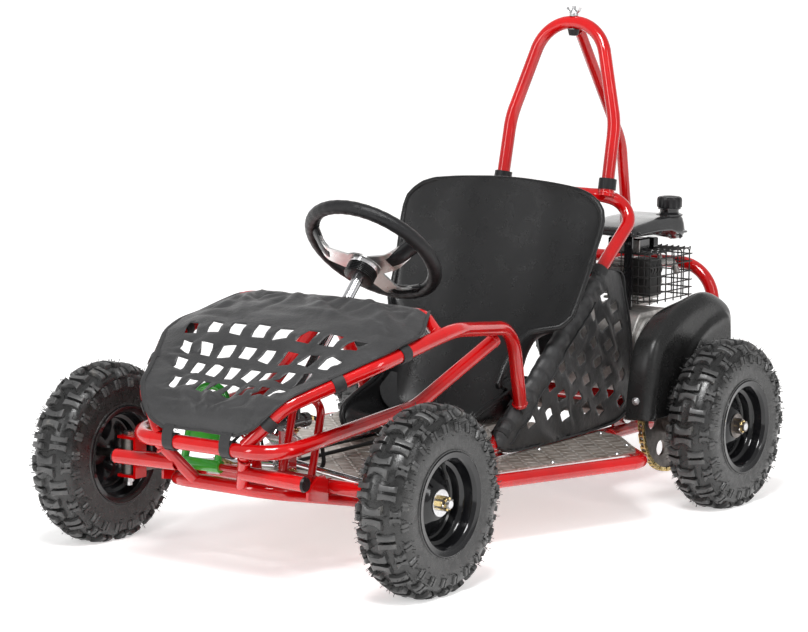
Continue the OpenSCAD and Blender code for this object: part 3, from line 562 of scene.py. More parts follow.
def tyre_mesh():
    """Casing with its bead, centre groove and inside, and the blocks of the tread."""
    shape = Shape()
    inner = [(77, 40.5), (86, 38), (114, 38), (140, 34), (150, 20), (152, 0)]
    loop = [(r, -w) for r, w in reversed(HALF)] + HALF[1:] + inner[:-1] + [(r, -w) for r, w in reversed(inner)]
    groove, groove_w = 1.6, 0.8
    loop = [(r - (groove if abs(w) < groove_w else 0), w) for r, w in loop]
    rows = [[Vector((w, r * math.sin(a), r * math.cos(a))) * MM for r, w in loop] for a in spin(144)]
    shape.grid(rows, close_row=True, close_col=True)
    tall = CROWN_R - CASING_R
    first_knob = len(shape.faces)
    for k in range(PERIODS):
        c = k * PITCH_ROUND
        for sign in (-1, 1):
            knob(shape, [(sign * (p + 7.6), q) for p, q in flared_bar(17, 8.5, 9, 3.2)], c, 0, tall)
            for side in (-1, 1):
                beside = [(sign * (p + 6.8), q) for p, q in flared_bar(14, 8, 3, 1.0)]
                knob(shape, beside, c + PITCH_ROUND / 2, side * 23, tall - 0.4)
                shoulder = [(sign * (p + 5.2), q) for p, q in flared_bar(8, 6.5, 7, 1.6)]
                knob(shape, shoulder, c + 2, side * 38.5, tall - 0.8)
        for side in (-1, 1):
            knob(shape, rect(-4, 4, -2.6, 2.6), c + 2, side * 38.5, tall - 2.2)
            for half_step in (0, 0.5):
                lug_c = c + half_step * PITCH_ROUND + PITCH_ROUND / 4
                for sign in (-1, 1):
                    lug = [(sign * 2.0, -8), (sign * 8.5, -7), (sign * 8.0, 7), (sign * 2.4, 8)]
                    knob(shape, lug, lug_c, side * 57, 3.4)
                knob(shape, rect(-2.6, 2.6, -6, 5), lug_c, side * 57, 1.8)
    knobs = range(first_knob, len(shape.faces))
    mould_hairs(shape)
    mesh = shape.mesh("knobbly_tyre", TYRE, 40)
    # the blocks take the lighter rubber, which holds dust and painted light on their tops
    mesh.materials.append(LIT_DUSTY_TREAD)
    for k in knobs:
        mesh.polygons[k].material_index = 1
    return mesh


def rim_shape():
    """Deep steel rim: rolled lip, bead seats, drop centre and dished disc."""
    half = [(87.2, 46.6), (88.6, 46), (89, 44.6), (88, 43.4), (84, 43), (79, 41.6), (76.4, 38), (75.8, 22),
            (74, 18), (68, 15), (66, 12)]
    outer = half + [(r, -h) for r, h in reversed(half)]
    inner = [(84, -45.6), (78, -44.4), (74.6, -41), (73, -37), (73, -24), (71, -20.5), (65, -17.5), (63.4, -14),
             (63.4, -5), (46, 3), (32, 14), (26, 19.5), (20, 20.4), (9, 20.4), (9, 23), (26, 23), (33, 19),
             (47, 8), (60, 2), (63.4, 4), (63.4, 14), (65, 17.5), (71, 20.5), (73, 24), (73, 37), (74.6, 41),
             (78, 44.4), (84, 45.6)]
    return Shape().revolve(outer + inner, Vector(), (1, 0, 0), 96)


def nut_shapes():
    """Castle nut with its slots, and the split pin that locks it."""
    nut, pin = Shape(), Shape()
    base = frame_from(Vector((25.9 * MM, 0, 0)), (1, 0, 0))
    nut.prism(ngon(13.4, 6), base, 9.5, 1.0)
    wedge = [(9.2, -3.3), (11.6, -3.0), (11.6, 3.0), (9.2, 3.3), (7.6, 2.4), (7.6, -2.4)]
    for a in spin(6, 30):
        nut.prism(wedge, base @ Matrix.Rotation(a, 4, "Z"), 14.5, 0.6)
    bent = [(37.5, -11.5, 1.5), (37.5, -13.5, 0), (37.5, -11.5, -1.5), (37.5, 0, -0.4), (37.5, 11, -1),
            (35, 14.5, -4), (31, 14.8, -7)]
    for way in (bent, [(37.5, -11.5, 1.5), (37.5, 11, 1), (40, 14, 3)]):
        pin.tube(smooth_path([Vector(v) * MM for v in way], 0.002), 1.1, 8)
    return nut, pin


def build_wheels():
    tyre, rim = tyre_mesh(), rim_shape().mesh("steel_rim", RIM, 30)
    nut, pin = nut_shapes()
    x_axis = (1, 0, 0)
    washer = Shape().revolve([(23.5, 23.2), (23.5, 25.4), (22.9, 25.9), (9, 25.9), (9, 23.2)],
                             Vector(), x_axis, 48)
    thread = Shape().stud(Vector((38 * MM, 0, 0)), x_axis, 7.6, 24, 7.4, 1.2)
    for k in range(5):
        h = 38.5 + k * 1.2
        thread.revolve([(8.1, h), (8.1, h + 0.5), (7.5, h + 0.7), (7.5, h - 0.2)], Vector(), x_axis, 24)
    valve = Shape().revolve([(5, 0), (4.6, 5), (3.2, 9), (3, 18), (3.8, 18.5), (3.8, 26), (2.6, 27.5), (0.1, 27.5)],
                            Vector((34, 0, 70)) * MM, (0.25, 0, -1), 16, False)
    hub_meshes = [(tag, shape.mesh(name, material)) for tag, shape, name, material in (
        ("nut", nut, "castle_nut", GOLD), ("pin", pin, "split_pin", ZINC), ("washer", washer, "hub_washer", ZINC),
        ("thread", thread, "axle_thread", ZINC))]
    valve = valve.mesh("valve", RUBBER)
    for tag, side, x, y, body, hub, nodes, turn in (
            ("front_left", 1, FRONT_X, FRONT_Y, "front_wheel_left", "spindle_left", "front_{}_left", 8),
            ("front_right", -1, FRONT_X, FRONT_Y, "front_wheel_right", "spindle_right", "front_{}_right", 50),
            ("rear_left", 1, REAR_X, REAR_Y, "rear_axle", "rear_axle", "rear_{}s", 21),
            ("rear_right", -1, REAR_X, REAR_Y, "rear_axle", "rear_axle", "rear_{}s", 77)):
        centre = Matrix.Translation(at(side * x, y, AXLE_Z))
        if side < 0:
            centre = centre @ Matrix.Rotation(math.pi, 4, "Z")
        turned = centre @ Matrix.Rotation(math.radians(turn), 4, "X")
        place(f"tyre_{tag}", tyre, body, "tyre", nodes.format("tyre"), centre)
        place(f"rim_{tag}", rim, body, "black_paint", nodes.format("rim"), centre)
        for name, mesh in hub_meshes:
            place(f"{name}_{tag}", mesh, hub, "zinc_steel", matrix=turned)
        place(f"valve_{tag}", valve, body, "hose_rubber", matrix=turned)


build_wheels()


# ---- Cloth ----

CLOTH_STEP = 6.5


def inside(p, poly):
    odd = False
    for i in range(len(poly)):
        (x1, y1), (x2, y2) = poly[i - 1], poly[i]
        if (y1 > p[1]) != (y2 > p[1]) and p[0] < (x2 - x1) * (p[1] - y1) / (y2 - y1) + x1:
            odd = not odd
    return odd


def edge_gap(p, poly):
    gap = 1e9
    for i in range(len(poly)):
        a, b, q = Vector(poly[i - 1]), Vector(poly[i]), Vector(p)
        d = b - a
        t = max(0, min(1, (q - a).dot(d) / max(d.length_squared, 1e-12)))
        gap = min(gap, (a + d * t - q).length)
    return gap


def cloth_patch(outline, holes, step, surface):
    """A cut sheet with holes, laid on surface(u, v): its shape, UVs and area. Flat sizes are in millimetres."""
    def fine(poly):
        out = []
        for i in range(len(poly)):
            a, b = Vector(poly[i - 1]), Vector(poly[i])
            k = max(1, round((b - a).length / step))
            out += [a.lerp(b, j / k) for j in range(k)]
        return out

    def in_sheet(p, margin=0.0, hole_margin=0.0):
        return (inside(p, outline) and edge_gap(p, outline) > margin
                and not any(inside(p, h) or edge_gap(p, h) < hole_margin for h in holes))
    verts, edges = [], []
    for loop in [fine(outline)] + [fine(h) for h in holes]:
        base = len(verts)
        verts += loop
        edges += [(base + i, base + (i + 1) % len(loop)) for i in range(len(loop))]
    us, vs = [p[0] for p in outline], [p[1] for p in outline]
    v = min(vs) + step / 2
    row = 0
    while v < max(vs):
        u = min(us) + (step / 2 if row % 2 else 0)
        while u < max(us):
            if in_sheet((u, v), step * 0.45, step * 0.4):
                verts.append(Vector((u, v)))
            u += step
        v += step * 0.87
        row += 1
    flat, _, faces, *_ = delaunay_2d_cdt(verts, edges, [], 0, 1e-6)
    shape = Shape()
    shape.verts = [surface(p.x, p.y) for p in flat]
    for f in faces:
        c = sum((flat[i] for i in f), Vector((0, 0))) / len(f)
        if inside(c, outline) and not any(inside(c, h) for h in holes):
            shape.faces.append(tuple(f))
    area = sum(abs((flat[f[1]] - flat[f[0]]).cross(flat[f[2]] - flat[f[0]])) / 2 for f in shape.faces)
    return shape, [(p.x * MM, p.y * MM) for p in flat], area * MM * MM


def sheet_from(shape, uv, name, hides=""):
    ob = shape.make(name, CLOTH, "cover_fabric", 80, hides, uv=uv)
    thicken(ob, 1.3)
    return ob


def ripple(*terms):
    """Sum of soft creases: (amplitude, u0, v0, du, dv, width)."""
    def height(u, v):
        total = 0.0
        for a, u0, v0, du, dv, w in terms:
            d = math.hypot(du, dv)
            along = ((u - u0) * du + (v - v0) * dv) / d
            off = (-(u - u0) * dv + (v - v0) * du) / d
            if -0.2 * d < along < 1.2 * d:
                fade = math.sin(math.pi * min(1, max(0, (along + 0.2 * d) / (1.4 * d))))
                total += a * fade * math.exp(-(off / w) ** 2)
        return total
    return height


# Rows of the hood from its front hem to the dash bar: (y, half width, edge z, middle z, squareness).
HOOD_ROWS = [(-639, 76, 266, 266, 2), (-635, 110, 280, 288, 2.2), (-620, 138, 308, 309, 2.4),
             (-600, 157, 331, 320, 2.5), (-570, 171, 344, 328, 2.5), (-525, 194, 361, 348, 2.5),
             (-480, 218, 379, 376, 2.8), (-440, 238, 394, 412, 3.4), (-390, 246, 408, 432, 4),
             (-340, 244, 416, 445, 4), (-300, 226, 432, 452, 5), (-266, 208, 444, 454, 6), (-249, 196, 441, 447, 6)]


def hood_at(v):
    """Row of the hood at distance v back from the hem."""
    left = max(0.0, v)
    for a, b in zip(HOOD_ROWS, HOOD_ROWS[1:]):
        d = math.hypot(b[0] - a[0], b[3] - a[3])
        if left <= d or b is HOOD_ROWS[-1]:
            t = min(1.0, left / d)
            return [p + (q - p) * t for p, q in zip(a, b)]
        left -= d


def hood_v(y):
    """Distance back from the hem to the row at y."""
    total = 0.0
    for a, b in zip(HOOD_ROWS, HOOD_ROWS[1:]):
        d = math.hypot(b[0] - a[0], b[3] - a[3])
        if b[0] >= y:
            return total + d * (y - a[0]) / (b[0] - a[0])
        total += d
    return total


HOOD_LENGTH = hood_v(HOOD_ROWS[-1][0])


def tension_folds(seed, anchors, reach, height, width):
    """Folds that fan out from the points where a cover is pulled: (u, v, heading, spread, count) each."""
    rng = random.Random(seed)
    terms = []
    for u, v, heading, spread, count in anchors:
        for i in range(count):
            a = math.radians(heading + spread * ((i + 0.5) / count - 0.5) + rng.uniform(-6, 6))
            d = rng.uniform(*reach)
            start = rng.uniform(4, 26)
            cos, sin = math.cos(a), math.sin(a)
            terms.append((rng.uniform(*height) * (1 if i % 2 else -1), u + start * cos, v + start * sin,
                          d * cos, d * sin, rng.uniform(*width)))
    return terms


HOOD_ANCHORS = [(-240, hood_v(-387), 40, 110, 7), (240, hood_v(-387), 140, 110, 7), (-200, hood_v(-513), 20, 90, 5),
                (200, hood_v(-513), 160, 90, 5), (-140, hood_v(-611), 40, 80, 5), (140, hood_v(-611), 140, 80, 5),
                (-190, HOOD_LENGTH, -70, 80, 6), (-70, HOOD_LENGTH, -90, 120, 6), (60, HOOD_LENGTH, -90, 120, 6),
                (180, HOOD_LENGTH, -110, 80, 6), (0, 10, 90, 120, 6)]
hood_creases = ripple((5, -60, 455, 190, -60, 12), (-4, -30, 425, 180, -90, 10), (5, 60, 440, 150, -110, 13),
                      (-3.5, 110, 455, 110, -130, 9), (4, 150, 420, 70, -150, 12), (3, -200, 440, 130, -30, 10),
                      (-3, -150, 470, 20, -120, 9), (4, -60, 350, 200, -10, 12), (3, 20, 120, 120, 10, 14),
                      (-3, -130, 70, 60, 110, 13), (3, 100, 60, -40, 90, 14), (2.5, -100, 380, 60, 60, 9),
                      *tension_folds(11, HOOD_ANCHORS, (50, 140), (2.6, 5.2), (7, 12)))


def hood_surface(u, v):
    y, w, ze, zc, square = hood_at(v)
    k = min(1.0, abs(u) / w)
    z = zc + (ze - zc) * k ** square
    calm = min(1.0, (1 - k) * 4) * min(1.0, max(0.0, HOOD_LENGTH - v) / 30)
    z += hood_creases(u, v) * calm
    # the hood sags in shallow scallops between the straps that hold it down
    z += 2.0 * math.sin(v / 17.0) * math.sin(u / 23.0) * calm
    return at(u, y, z)


def hood_holes():
    rng = random.Random(3)
    rows = []
    for y, reach in ((-440, 178), (-480, 157), (-525, 134), (-570, 109)):
        v0, gap = hood_v(y), 2 * reach / 7
        for i in range(8):
            u0 = -reach + i * gap
            lean, turn = -u0 / 178 * 0.38, rng.uniform(-0.16, 0.16)
            hw, hh = gap * 0.27, 15.5
            quad = []
            for a, b in ((-hw, -hh), (hw, -hh), (hw, hh), (-hw, hh)):
                a, b = a * math.cos(turn) - b * math.sin(turn), a * math.sin(turn) + b * math.cos(turn)
                quad.append((u0 + a - lean * b + rng.uniform(-2.6, 2.6), v0 + b + rng.uniform(-2.8, 2.8)))
            rows.append(quad)
    return rows


def hem(name, path, width, thick=2.2):
    w = width / 2
    flat = [(-thick, -w), (thick * 0.2, -w), (thick * 0.7, 0), (thick * 0.2, w), (-thick, w)]
    return Shape().sweep(path, flat).make(name, WEB, "cover_fabric", 60)


def strap(shape, centre, tangent, r, width):
    """Hook-and-loop strap round a tube, its free end lying over it."""
    thick, w = 1.8, width / 2
    shape.revolve([(r, -w), (r + thick, -w + 0.5), (r + thick, w - 0.5), (r, w)], centre, tangent, 40)
    over = [(r + thick + k, h) for k, h in ((0, -w + 1), (1.4, -w + 1.4), (1.4, w - 1.4), (0, w - 1))]
    f = frame_from(centre, tangent)
    rows = []
    for i in range(14):
        a = math.radians(150 + 120 * i / 13)
        rows.append([f @ (Vector((q * math.cos(a), q * math.sin(a), h)) * MM) for q, h in over])
    shape.grid(rows, close_row=True, cap=True)


# Points of the left cowl hoop: (x, y, z).
HOOP = [(92, -629, 250), (150, -600, 318), (235, -440, 380), (252, -250, 418)]


def on_hoop(y, side):
    """Point of the cowl hoop's centre line at y, and its direction there."""
    for a, b in zip(HOOP, HOOP[1:]):
        if y <= b[1]:
            p, q = (at(side * k[0], k[1], k[2]) for k in (a, b))
            return p.lerp(q, (y - a[1]) / (b[1] - a[1])), (q - p).normalized()


def build_hood():
    right = [(row[1], hood_v(row[0])) for row in HOOD_ROWS]
    outline = right + [(-u, v) for u, v in reversed(right)]
    shape, uv, area = cloth_patch(outline, hood_holes(), CLOTH_STEP, hood_surface)
    hood = sheet_from(shape, uv, "hood", "hood_cover")
    edge = [hood_surface(u * 0.995, v) + Vector((0, 0, 0.0012)) for u, v in outline]
    n = len(right)
    back = [hood_surface(-194 + 388 * i / 40, HOOD_LENGTH - 5) + Vector((0, 0, 0.0016)) for i in range(41)]
    front = [hood_surface(-74 + 148 * i / 12, 4) + Vector((0, -0.0012, 0)) for i in range(13)]
    hems = [hem(f"hood_hem_{tag}", path, width) for tag, path, width in (
        ("left", smooth_path(edge[:n], 0.012), 9), ("right", smooth_path(edge[n:], 0.012), 9),
        ("rear", back, 11), ("front", front, 8))]
    straps = Shape()
    for x in (-62, 62):
        strap(straps, at(x, -635, 243), (1, 0, 0), 13.2, 22)
        tab = curve(0.004, (x, -646.6, 240), (x, -648.6, 252), (x, -645, 264), (x, -640, 272))
        straps.sweep(tab, band(22, 1.6), up=Vector((1, 0, 0)))
    for side in (-1, 1):
        for y in (-611, -513, -387):
            straps_at, way = on_hoop(y, side)
            strap(straps, straps_at, way, 13.4, 22)
    straps.make("hood_straps", WEB, "webbing", 50)


build_hood()


# ---- Side panels ----

# The seat hoop's lower legs, as points (y, z), which the side panels wrap round.
LEG_FOOT, LEG_TOP = Vector((-32, 130)), Vector((508, 565))
LEG_WAY = (LEG_TOP - LEG_FOOT).normalized()
LEG_UP = Vector((-LEG_WAY.y, LEG_WAY.x))
RAIL_X = 163
WRAP_R = 14.3
panel_creases = ripple((5, 150, -12, 40, -150, 13), (-5, 200, -8, 30, -170, 12), (6, 260, -6, 60, -190, 14),
                       (-5, 330, -12, 50, -150, 12), (7, 420, -18, 10, -120, 12), (-6, 450, -25, -60, -140, 13),
                       (6, 480, -20, -50, -160, 12), (5, 380, -60, 60, -190, 13), (-4, 250, -120, 150, -90, 12),
                       *tension_folds(17, [(470, -6, -110, 90, 9), (300, -8, -90, 80, 6), (120, -8, -70, 80, 6),
                                           (420, -220, 120, 90, 7), (240, -180, 100, 90, 6)],
                                      (60, 150), (1.8, 3.8), (6, 10)))


def panel_surface(side):
    def surface(s, q):
        """Point at s along the seat tube and q above it: cloth above the tube's axis wraps round it."""
        x = (WRAP_R + panel_creases(s, q) * min(1, max(0, -q / 24)) * 0.8
             + 1.2 * math.sin(s / 19) * min(1, max(0, -q / 40)))
        # cloth gathered into ruffles where it is tied to the tube
        gather = min(1, max(0, (s - 60) / 30)) * min(1, max(0, (510 - s) / 20)) * math.exp(-(q / 30) ** 2)
        ruffle = gather * (1.5 * math.sin(s / 4.6 + 1.3 * math.sin(s / 31)) + 1.3 * math.sin(s / 8.3 + q / 9)
                           + 2.4 * math.exp(-((s - 470) / 30) ** 2) * math.sin(s / 3.4))
        up = q
        if q > 0:
            r = WRAP_R + 1.6 + ruffle
            x, up = r * math.cos(q / WRAP_R), r * math.sin(q / WRAP_R)
        else:
            x += (1.6 + ruffle) * math.exp(-(q / 26) ** 2)
        p = LEG_FOOT + LEG_WAY * s + LEG_UP * up
        return at(side * (RAIL_X + x), p.x, p.y)
    return surface


def panel_flat(y, z):
    d = Vector((y, z)) - LEG_FOOT
    return d.dot(LEG_WAY), d.dot(LEG_UP)


def panel_holes(outline):
    rng = random.Random(5)
    holes = []
    for i in range(9):
        for j in range(6):
            s, q = 150 + i * 47 + (j % 2) * 12, -34 - j * 41
            turn = rng.uniform(-0.12, 0.12)
            if inside((s, q), outline) and edge_gap((s, q), outline) > 27:
                cos, sin = math.cos(turn), math.sin(turn)
                holes.append([(s + a * cos - b * sin, q + a * sin + b * cos)
                              for a, b in ((-12, -7), (9, -12), (12, 7), (-9, 12))])
    return holes


def build_panels():
    lower = [(418, 448), (436, 400), (452, 348), (468, 270), (480, 204), (474, 187), (420, 158), (330, 150),
             (64, 149)]
    outline = [(70, 26), (250, 26), (440, 26), (500, 22)] + [panel_flat(*p) for p in lower] + [(48, 4)]
    holes = panel_holes(outline)
    for side, tag in SIDES:
        surface = panel_surface(side)
        shape, uv, area = cloth_patch(outline, holes, CLOTH_STEP, surface)
        if side < 0:
            shape.faces = [f[::-1] for f in shape.faces]
        panel = sheet_from(shape, uv, f"side_panel_{tag}", "side_panels" if side > 0 else "")
        edges = [surface(s, q) + Vector((side * 0.0012, 0, 0)) for s, q in outline]
        proud = Vector((side * 0.0018, 0, 0))
        seam = [surface(80 + i * 10, -20 - 3 * math.sin(i / 6)) + proud for i in range(38)]
        hems = [hem(f"side_hem_{tag}", smooth_path(edges[3:], 0.012), 9), hem(f"side_seam_{tag}", seam, 4, 1.2)]
        ties = Shape()
        for s, width in ((96, 34), (150, 16), (505, 26)):
            p = LEG_FOOT + LEG_WAY * s
            strap(ties, at(side * RAIL_X, p.x, p.y), (0, LEG_WAY.x, LEG_WAY.y), 15.6, width)
        ties.make(f"side_straps_{tag}", WEB, "webbing", 50)


build_panels()


# ---- Seat ----

# Stations up the seat: (y, z, half width, height of the side wall, squareness).
SEAT = [(-44, 178, 132, 8, 4), (-40, 190, 138, 14, 4), (-28, 196, 143, 24, 4), (10, 189, 146, 48, 4),
        (60, 181, 147, 72, 4), (105, 180, 147, 96, 4), (132, 193, 147, 112, 4), (150, 220, 148, 118, 4),
        (166, 256, 148, 112, 4), (186, 300, 148, 92, 3.6), (201, 331, 152, 66, 3.6), (212, 354, 192, 34, 3.4),
        (222, 378, 209, 25, 3.2), (240, 424, 214, 20, 3.2), (251, 455, 217, 17, 3.2), (265, 505, 222, 13, 3.2),
        (274, 545, 226, 10, 3.2), (280, 575, 226, 8, 3.2), (284, 598, 221, 7, 3.2), (286, 612, 209, 5, 3.2),
        (287, 621, 190, 4, 3), (288, 625, 162, 3, 3)]


def crown_drop(x, z):
    """How far the back's upper rows fall towards the sides."""
    return 18 * (x / 200) ** 2 * max(0, min(1, (z - 500) / 110))


def seat_rows(steps=28):
    path = smooth_path([Vector((p[0], p[1], i)) for i, p in enumerate(SEAT)], 14)
    rows = []
    for i, p in enumerate(path):
        k = min(len(SEAT) - 2, int(p.z))
        t = p.z - k
        w, depth, square = (SEAT[k][j] + (SEAT[k + 1][j] - SEAT[k][j]) * t for j in (2, 3, 4))
        a, b = path[max(0, i - 1)], path[min(len(path) - 1, i + 1)]
        d = Vector((b.x - a.x, b.y - a.y)).normalized()
        row = []
        for j in range(steps + 1):
            phi = math.pi * (j / steps - 0.5)
            x = w * math.copysign(abs(math.sin(phi)) ** (2 / square), phi)
            lift = depth * (1 - abs(math.cos(phi)) ** (2 / square))
            # broad shallow channels where the driver's legs and back rest
            lift -= 3.0 * math.exp(-((abs(x) / w - 0.42) / 0.2) ** 2)
            row.append(at(x, p.x - d.y * lift, p.y + d.x * lift - crown_drop(x, p.y)))
        rows.append(row)
    return rows


def build_seat():
    rows = seat_rows()
    seat = Shape().grid(rows).make("seat", SEAT_MAT, "black_plastic", 60, "seat_shell", round_off=True)
    thicken(seat, 5)
    border = [r[0] for r in rows] + rows[-1][1:] + [r[-1] for r in reversed(rows)][1:] + rows[0][::-1][1:]
    Shape().tube(border, 5.6, 10, closed=True).make("seat_lip", SEAT_MAT, "black_plastic", 60)


def build_belt():
    for side, tag in SIDES:
        way = curve(0.008, *((side * x, y, z) for x, y, z in (
            (20, 66, 196), (52, 68, 194), (92, 74, 197), (124, 84, 214), (138, 96, 244), (143, 104, 262))))
        Shape().sweep(way, band(1.6, 38)).make(f"belt_{tag}", WEB, "webbing", 50)
    buckle = Shape()
    buckle.prism(rounded(band(54, 42), 6), Matrix.Translation(at(0, 66, 189)), 13, 2)
    buckle.prism(rounded(band(28, 24), 3), Matrix.Translation(at(0, 66, 201)), 2.4, 0.8)
    buckle.make("belt_buckle", SMOOTH, "black_plastic", 40, "seat_belt")


build_seat()
build_belt()


# ---- Fenders ----

# Crown of a fender and the edge of its wheel arch, seen from the side: (y, z).
FENDER = [(290, 188), (293, 225), (304, 288), (320, 329), (342, 350), (375, 374), (405, 388), (435, 399),
          (477, 408), (504, 411), (536, 406), (572, 392), (600, 375), (611, 355), (614, 311), (614, 215)]
ARCH = [(405, 200), (415, 255), (434, 298), (463, 325), (508, 345), (554, 356), (612, 361)]


def arch_lift(y, z):
    """Outward rise of the fender's side: a rib along the wheel arch and a flange below it."""
    gap, below = 1e9, False
    for a, b in zip(ARCH, ARCH[1:]):
        p, d = Vector((y - a[0], z - a[1])), Vector((b[0] - a[0], b[1] - a[1]))
        t = max(0, min(1, p.dot(d) / d.length_squared))
        off = (p - d * t)
        if off.length < gap:
            gap, below = off.length, d.x * p.y - d.y * p.x < 0
    return (3.0 if below else 0) * min(1, gap / 8) + 6.5 * math.exp(-(gap / 5.5) ** 2)


def build_fenders():
    path = smooth_path([Vector((y, z, 0)) for y, z in FENDER], 9)
    n = len(path)
    for side, tag in SIDES:
        rows = []
        for i, p in enumerate(path):
            a, b = path[max(0, i - 1)], path[min(n - 1, i + 1)]
            d = (b - a).normalized()
            inward = Vector((d.y, -d.x))
            t = i / (n - 1)
            foot = Vector((300 + 308 * t, 190 + 24 * t - 10 * math.sin(math.pi * t)))
            dip = 17 * math.exp(-((p.x - 480) / 80) ** 2)
            row = [at(side * x, p.x + inward.x * k, p.y + inward.y * k) for x, k in (
                (272, 5 + dip), (272, 1 + dip), (282, dip * 0.72), (292, dip * 0.42), (301, dip * 0.16), (309, 0.5),
                (314, 2.2), (318, 5.2), (321, 9.5), (323.5, 15), (325.5, 22))]
            start = Vector((p.x, p.y)) + inward * 22
            for k in range(1, 25):
                q = start.lerp(foot, k / 24)
                row.append(at(side * (326 + arch_lift(q.x, q.y) - 1.5 * (k / 24) ** 2), q.x, q.y))
            rows.append(row)
        fender = Shape().grid(rows).make(f"fender_{tag}", FENDER_MAT, "black_plastic", 55,
                                         "fenders" if side > 0 else "", round_off=True)
        thicken(fender, 2.6, -side)
        bolt = Shape().bolt(at(side * 295, 291, 224), (0, -1, 0), 5, 3.4)
        bolt.make(f"fender_bolts_{tag}", ZINC, "zinc_steel")


build_fenders()


# ---- Steering wheel ----

STEERING_AXIS = JOINTS["steering"]["axis"]
WHEEL = frame_from(Vector(JOINTS["steering"]["pos_m"]), STEERING_AXIS, (1, 0, 0))
WHEEL_R, GRIP_R, DISH = 122.0, 13.0, 40.0
SPOKES = (-17, 65, 205)


def rim_point(a, r, h):
    return WHEEL @ Vector((r * math.cos(a) * MM, r * math.sin(a) * MM, h * MM))


def build_grip():
    rim = Shape()
    rows = []
    for a in spin(120):
        swell = GRIP_R * (1 + 0.03 * math.sin(a * 40))
        rows.append([rim_point(a, WHEEL_R + x, y) for x, y in oval(swell, swell, 20)])
    rim.grid(rows, close_row=True, close_col=True)
    rim.make("wheel_rim", GRIP, "grip", 60, "steering_wheel", "steering", round_off=True)
    bore = WHEEL_R - GRIP_R
    seam = Shape().tube([rim_point(a, bore - 0.2, 2) for a in spin(120)], 0.9, 6, closed=True)
    for a in spin(72):
        seam.tube([rim_point(a, bore + 0.2, -1.4), rim_point(a + 0.012, bore - 0.7, 2),
                   rim_point(a, bore + 0.2, 5.2)], 0.5, 5)
    seam.make("wheel_rim_stitch", RUBBER, "grip", 60, body="steering")


def spoke_plate(t):
    """Section of a spoke's pressed plate, which narrows outwards."""
    w = 24 - 9 * t
    return [(-w, -1.9), (-w, 1.3), (-(w - 1), 2.2), (w - 1, 2.2), (w, 1.3), (w, -1.9)]


def spoke_pad(t):
    return oval(16.5 + 2.0 * t * t, 5.0 + 3.4 * t * t, 18)


def build_spokes():
    plates, pads, bolts, boss, ribs = (Shape() for _ in range(5))
    hub = WHEEL @ lift(-DISH)
    plates.prism(ngon(39, 40), hub @ lift(-0.3), 4.6, 1.2)
    for deg in SPOKES:
        turn = WHEEL @ Matrix.Rotation(math.radians(deg), 4, "Z")
        across = turn.to_3x3() @ Vector((0, 1, 0))
        for shape, step, section, way in (
                (plates, 0.005, spoke_plate, ((28, -38), (50, -38), (72, -37), (86, -29), (100, -15), (110, -5))),
                (pads, 0.004, spoke_pad, ((66, -36.5), (78, -33), (90, -25), (102, -13), (113, -3)))):
            shape.sweep(smooth_path([turn @ (Vector((r, 0, h)) * MM) for r, h in way], step), section, up=across)
        for r in (42, 56):
            bolts.prism(ngon(3.6, 18), turn @ Matrix.Translation((r * MM, 0, -36 * MM)), 2.6, 0.9)
    plates.make("wheel_plate", PLATED, "zinc_steel", 40, "wheel_spokes", "steering")
    pads.make("wheel_spoke_pads", SMOOTH, "grip", 60, body="steering", round_off=True)
    for a in spin(3, 40):
        m = hub @ Matrix.Translation((25 * MM * math.cos(a), 25 * MM * math.sin(a), 4.2 * MM))
        bolts.prism(ngon(8, 24), m, 1.2, 0.3)
        bolts.prism(ngon(5.5, 6), m, 5.4, 0.7)
    bolts.make("wheel_bolts", ZINC, "zinc_steel", body="steering")
    boss.revolve([(12.6, 4), (12.6, 11), (11.2, 12.6), (7, 12.6), (6, 10.5), (0.2, 10.5), (0.2, 4)],
                 hub.translation, STEERING_AXIS, 40)
    boss.prism(ngon(8.5, 6), hub @ lift(10), 7, 0.8)
    boss.make("wheel_nut", ZINC, "zinc_steel", body="steering")
    for k in range(6):
        h = -(4 + 3.4 * k)
        ribs.revolve([(27.6, h), (28.8, h - 0.8), (28.8, h - 2.0), (27.6, h - 2.8), (9.9, h - 2.8), (9.9, h)],
                     hub.translation, STEERING_AXIS, 48)
    ribs.make("wheel_collar", SMOOTH, "black_plastic", 50, body="steering")


build_grip()
build_spokes()


# ---- Engine ----

TANK_X, TANK_Y = (15, 150), (515, 733)
CAP = (121, 698)
CRANK = (568, 288)
TANK_TOP = [(515, 515), (560, 524), (620, 530), (700, 532), (733, 530)]
TANK_FLOOR = [(515, 500), (620, 498), (660, 494), (690, 482), (733, 481)]


def along(table, y):
    """Height on a table of (y, height), straight between its points."""
    for a, b in zip(table, table[1:]):
        if y <= b[0] or b is table[-1]:
            t = min(1, max(0, (y - a[0]) / (b[0] - a[0])))
            return a[1] + (b[1] - a[1]) * t


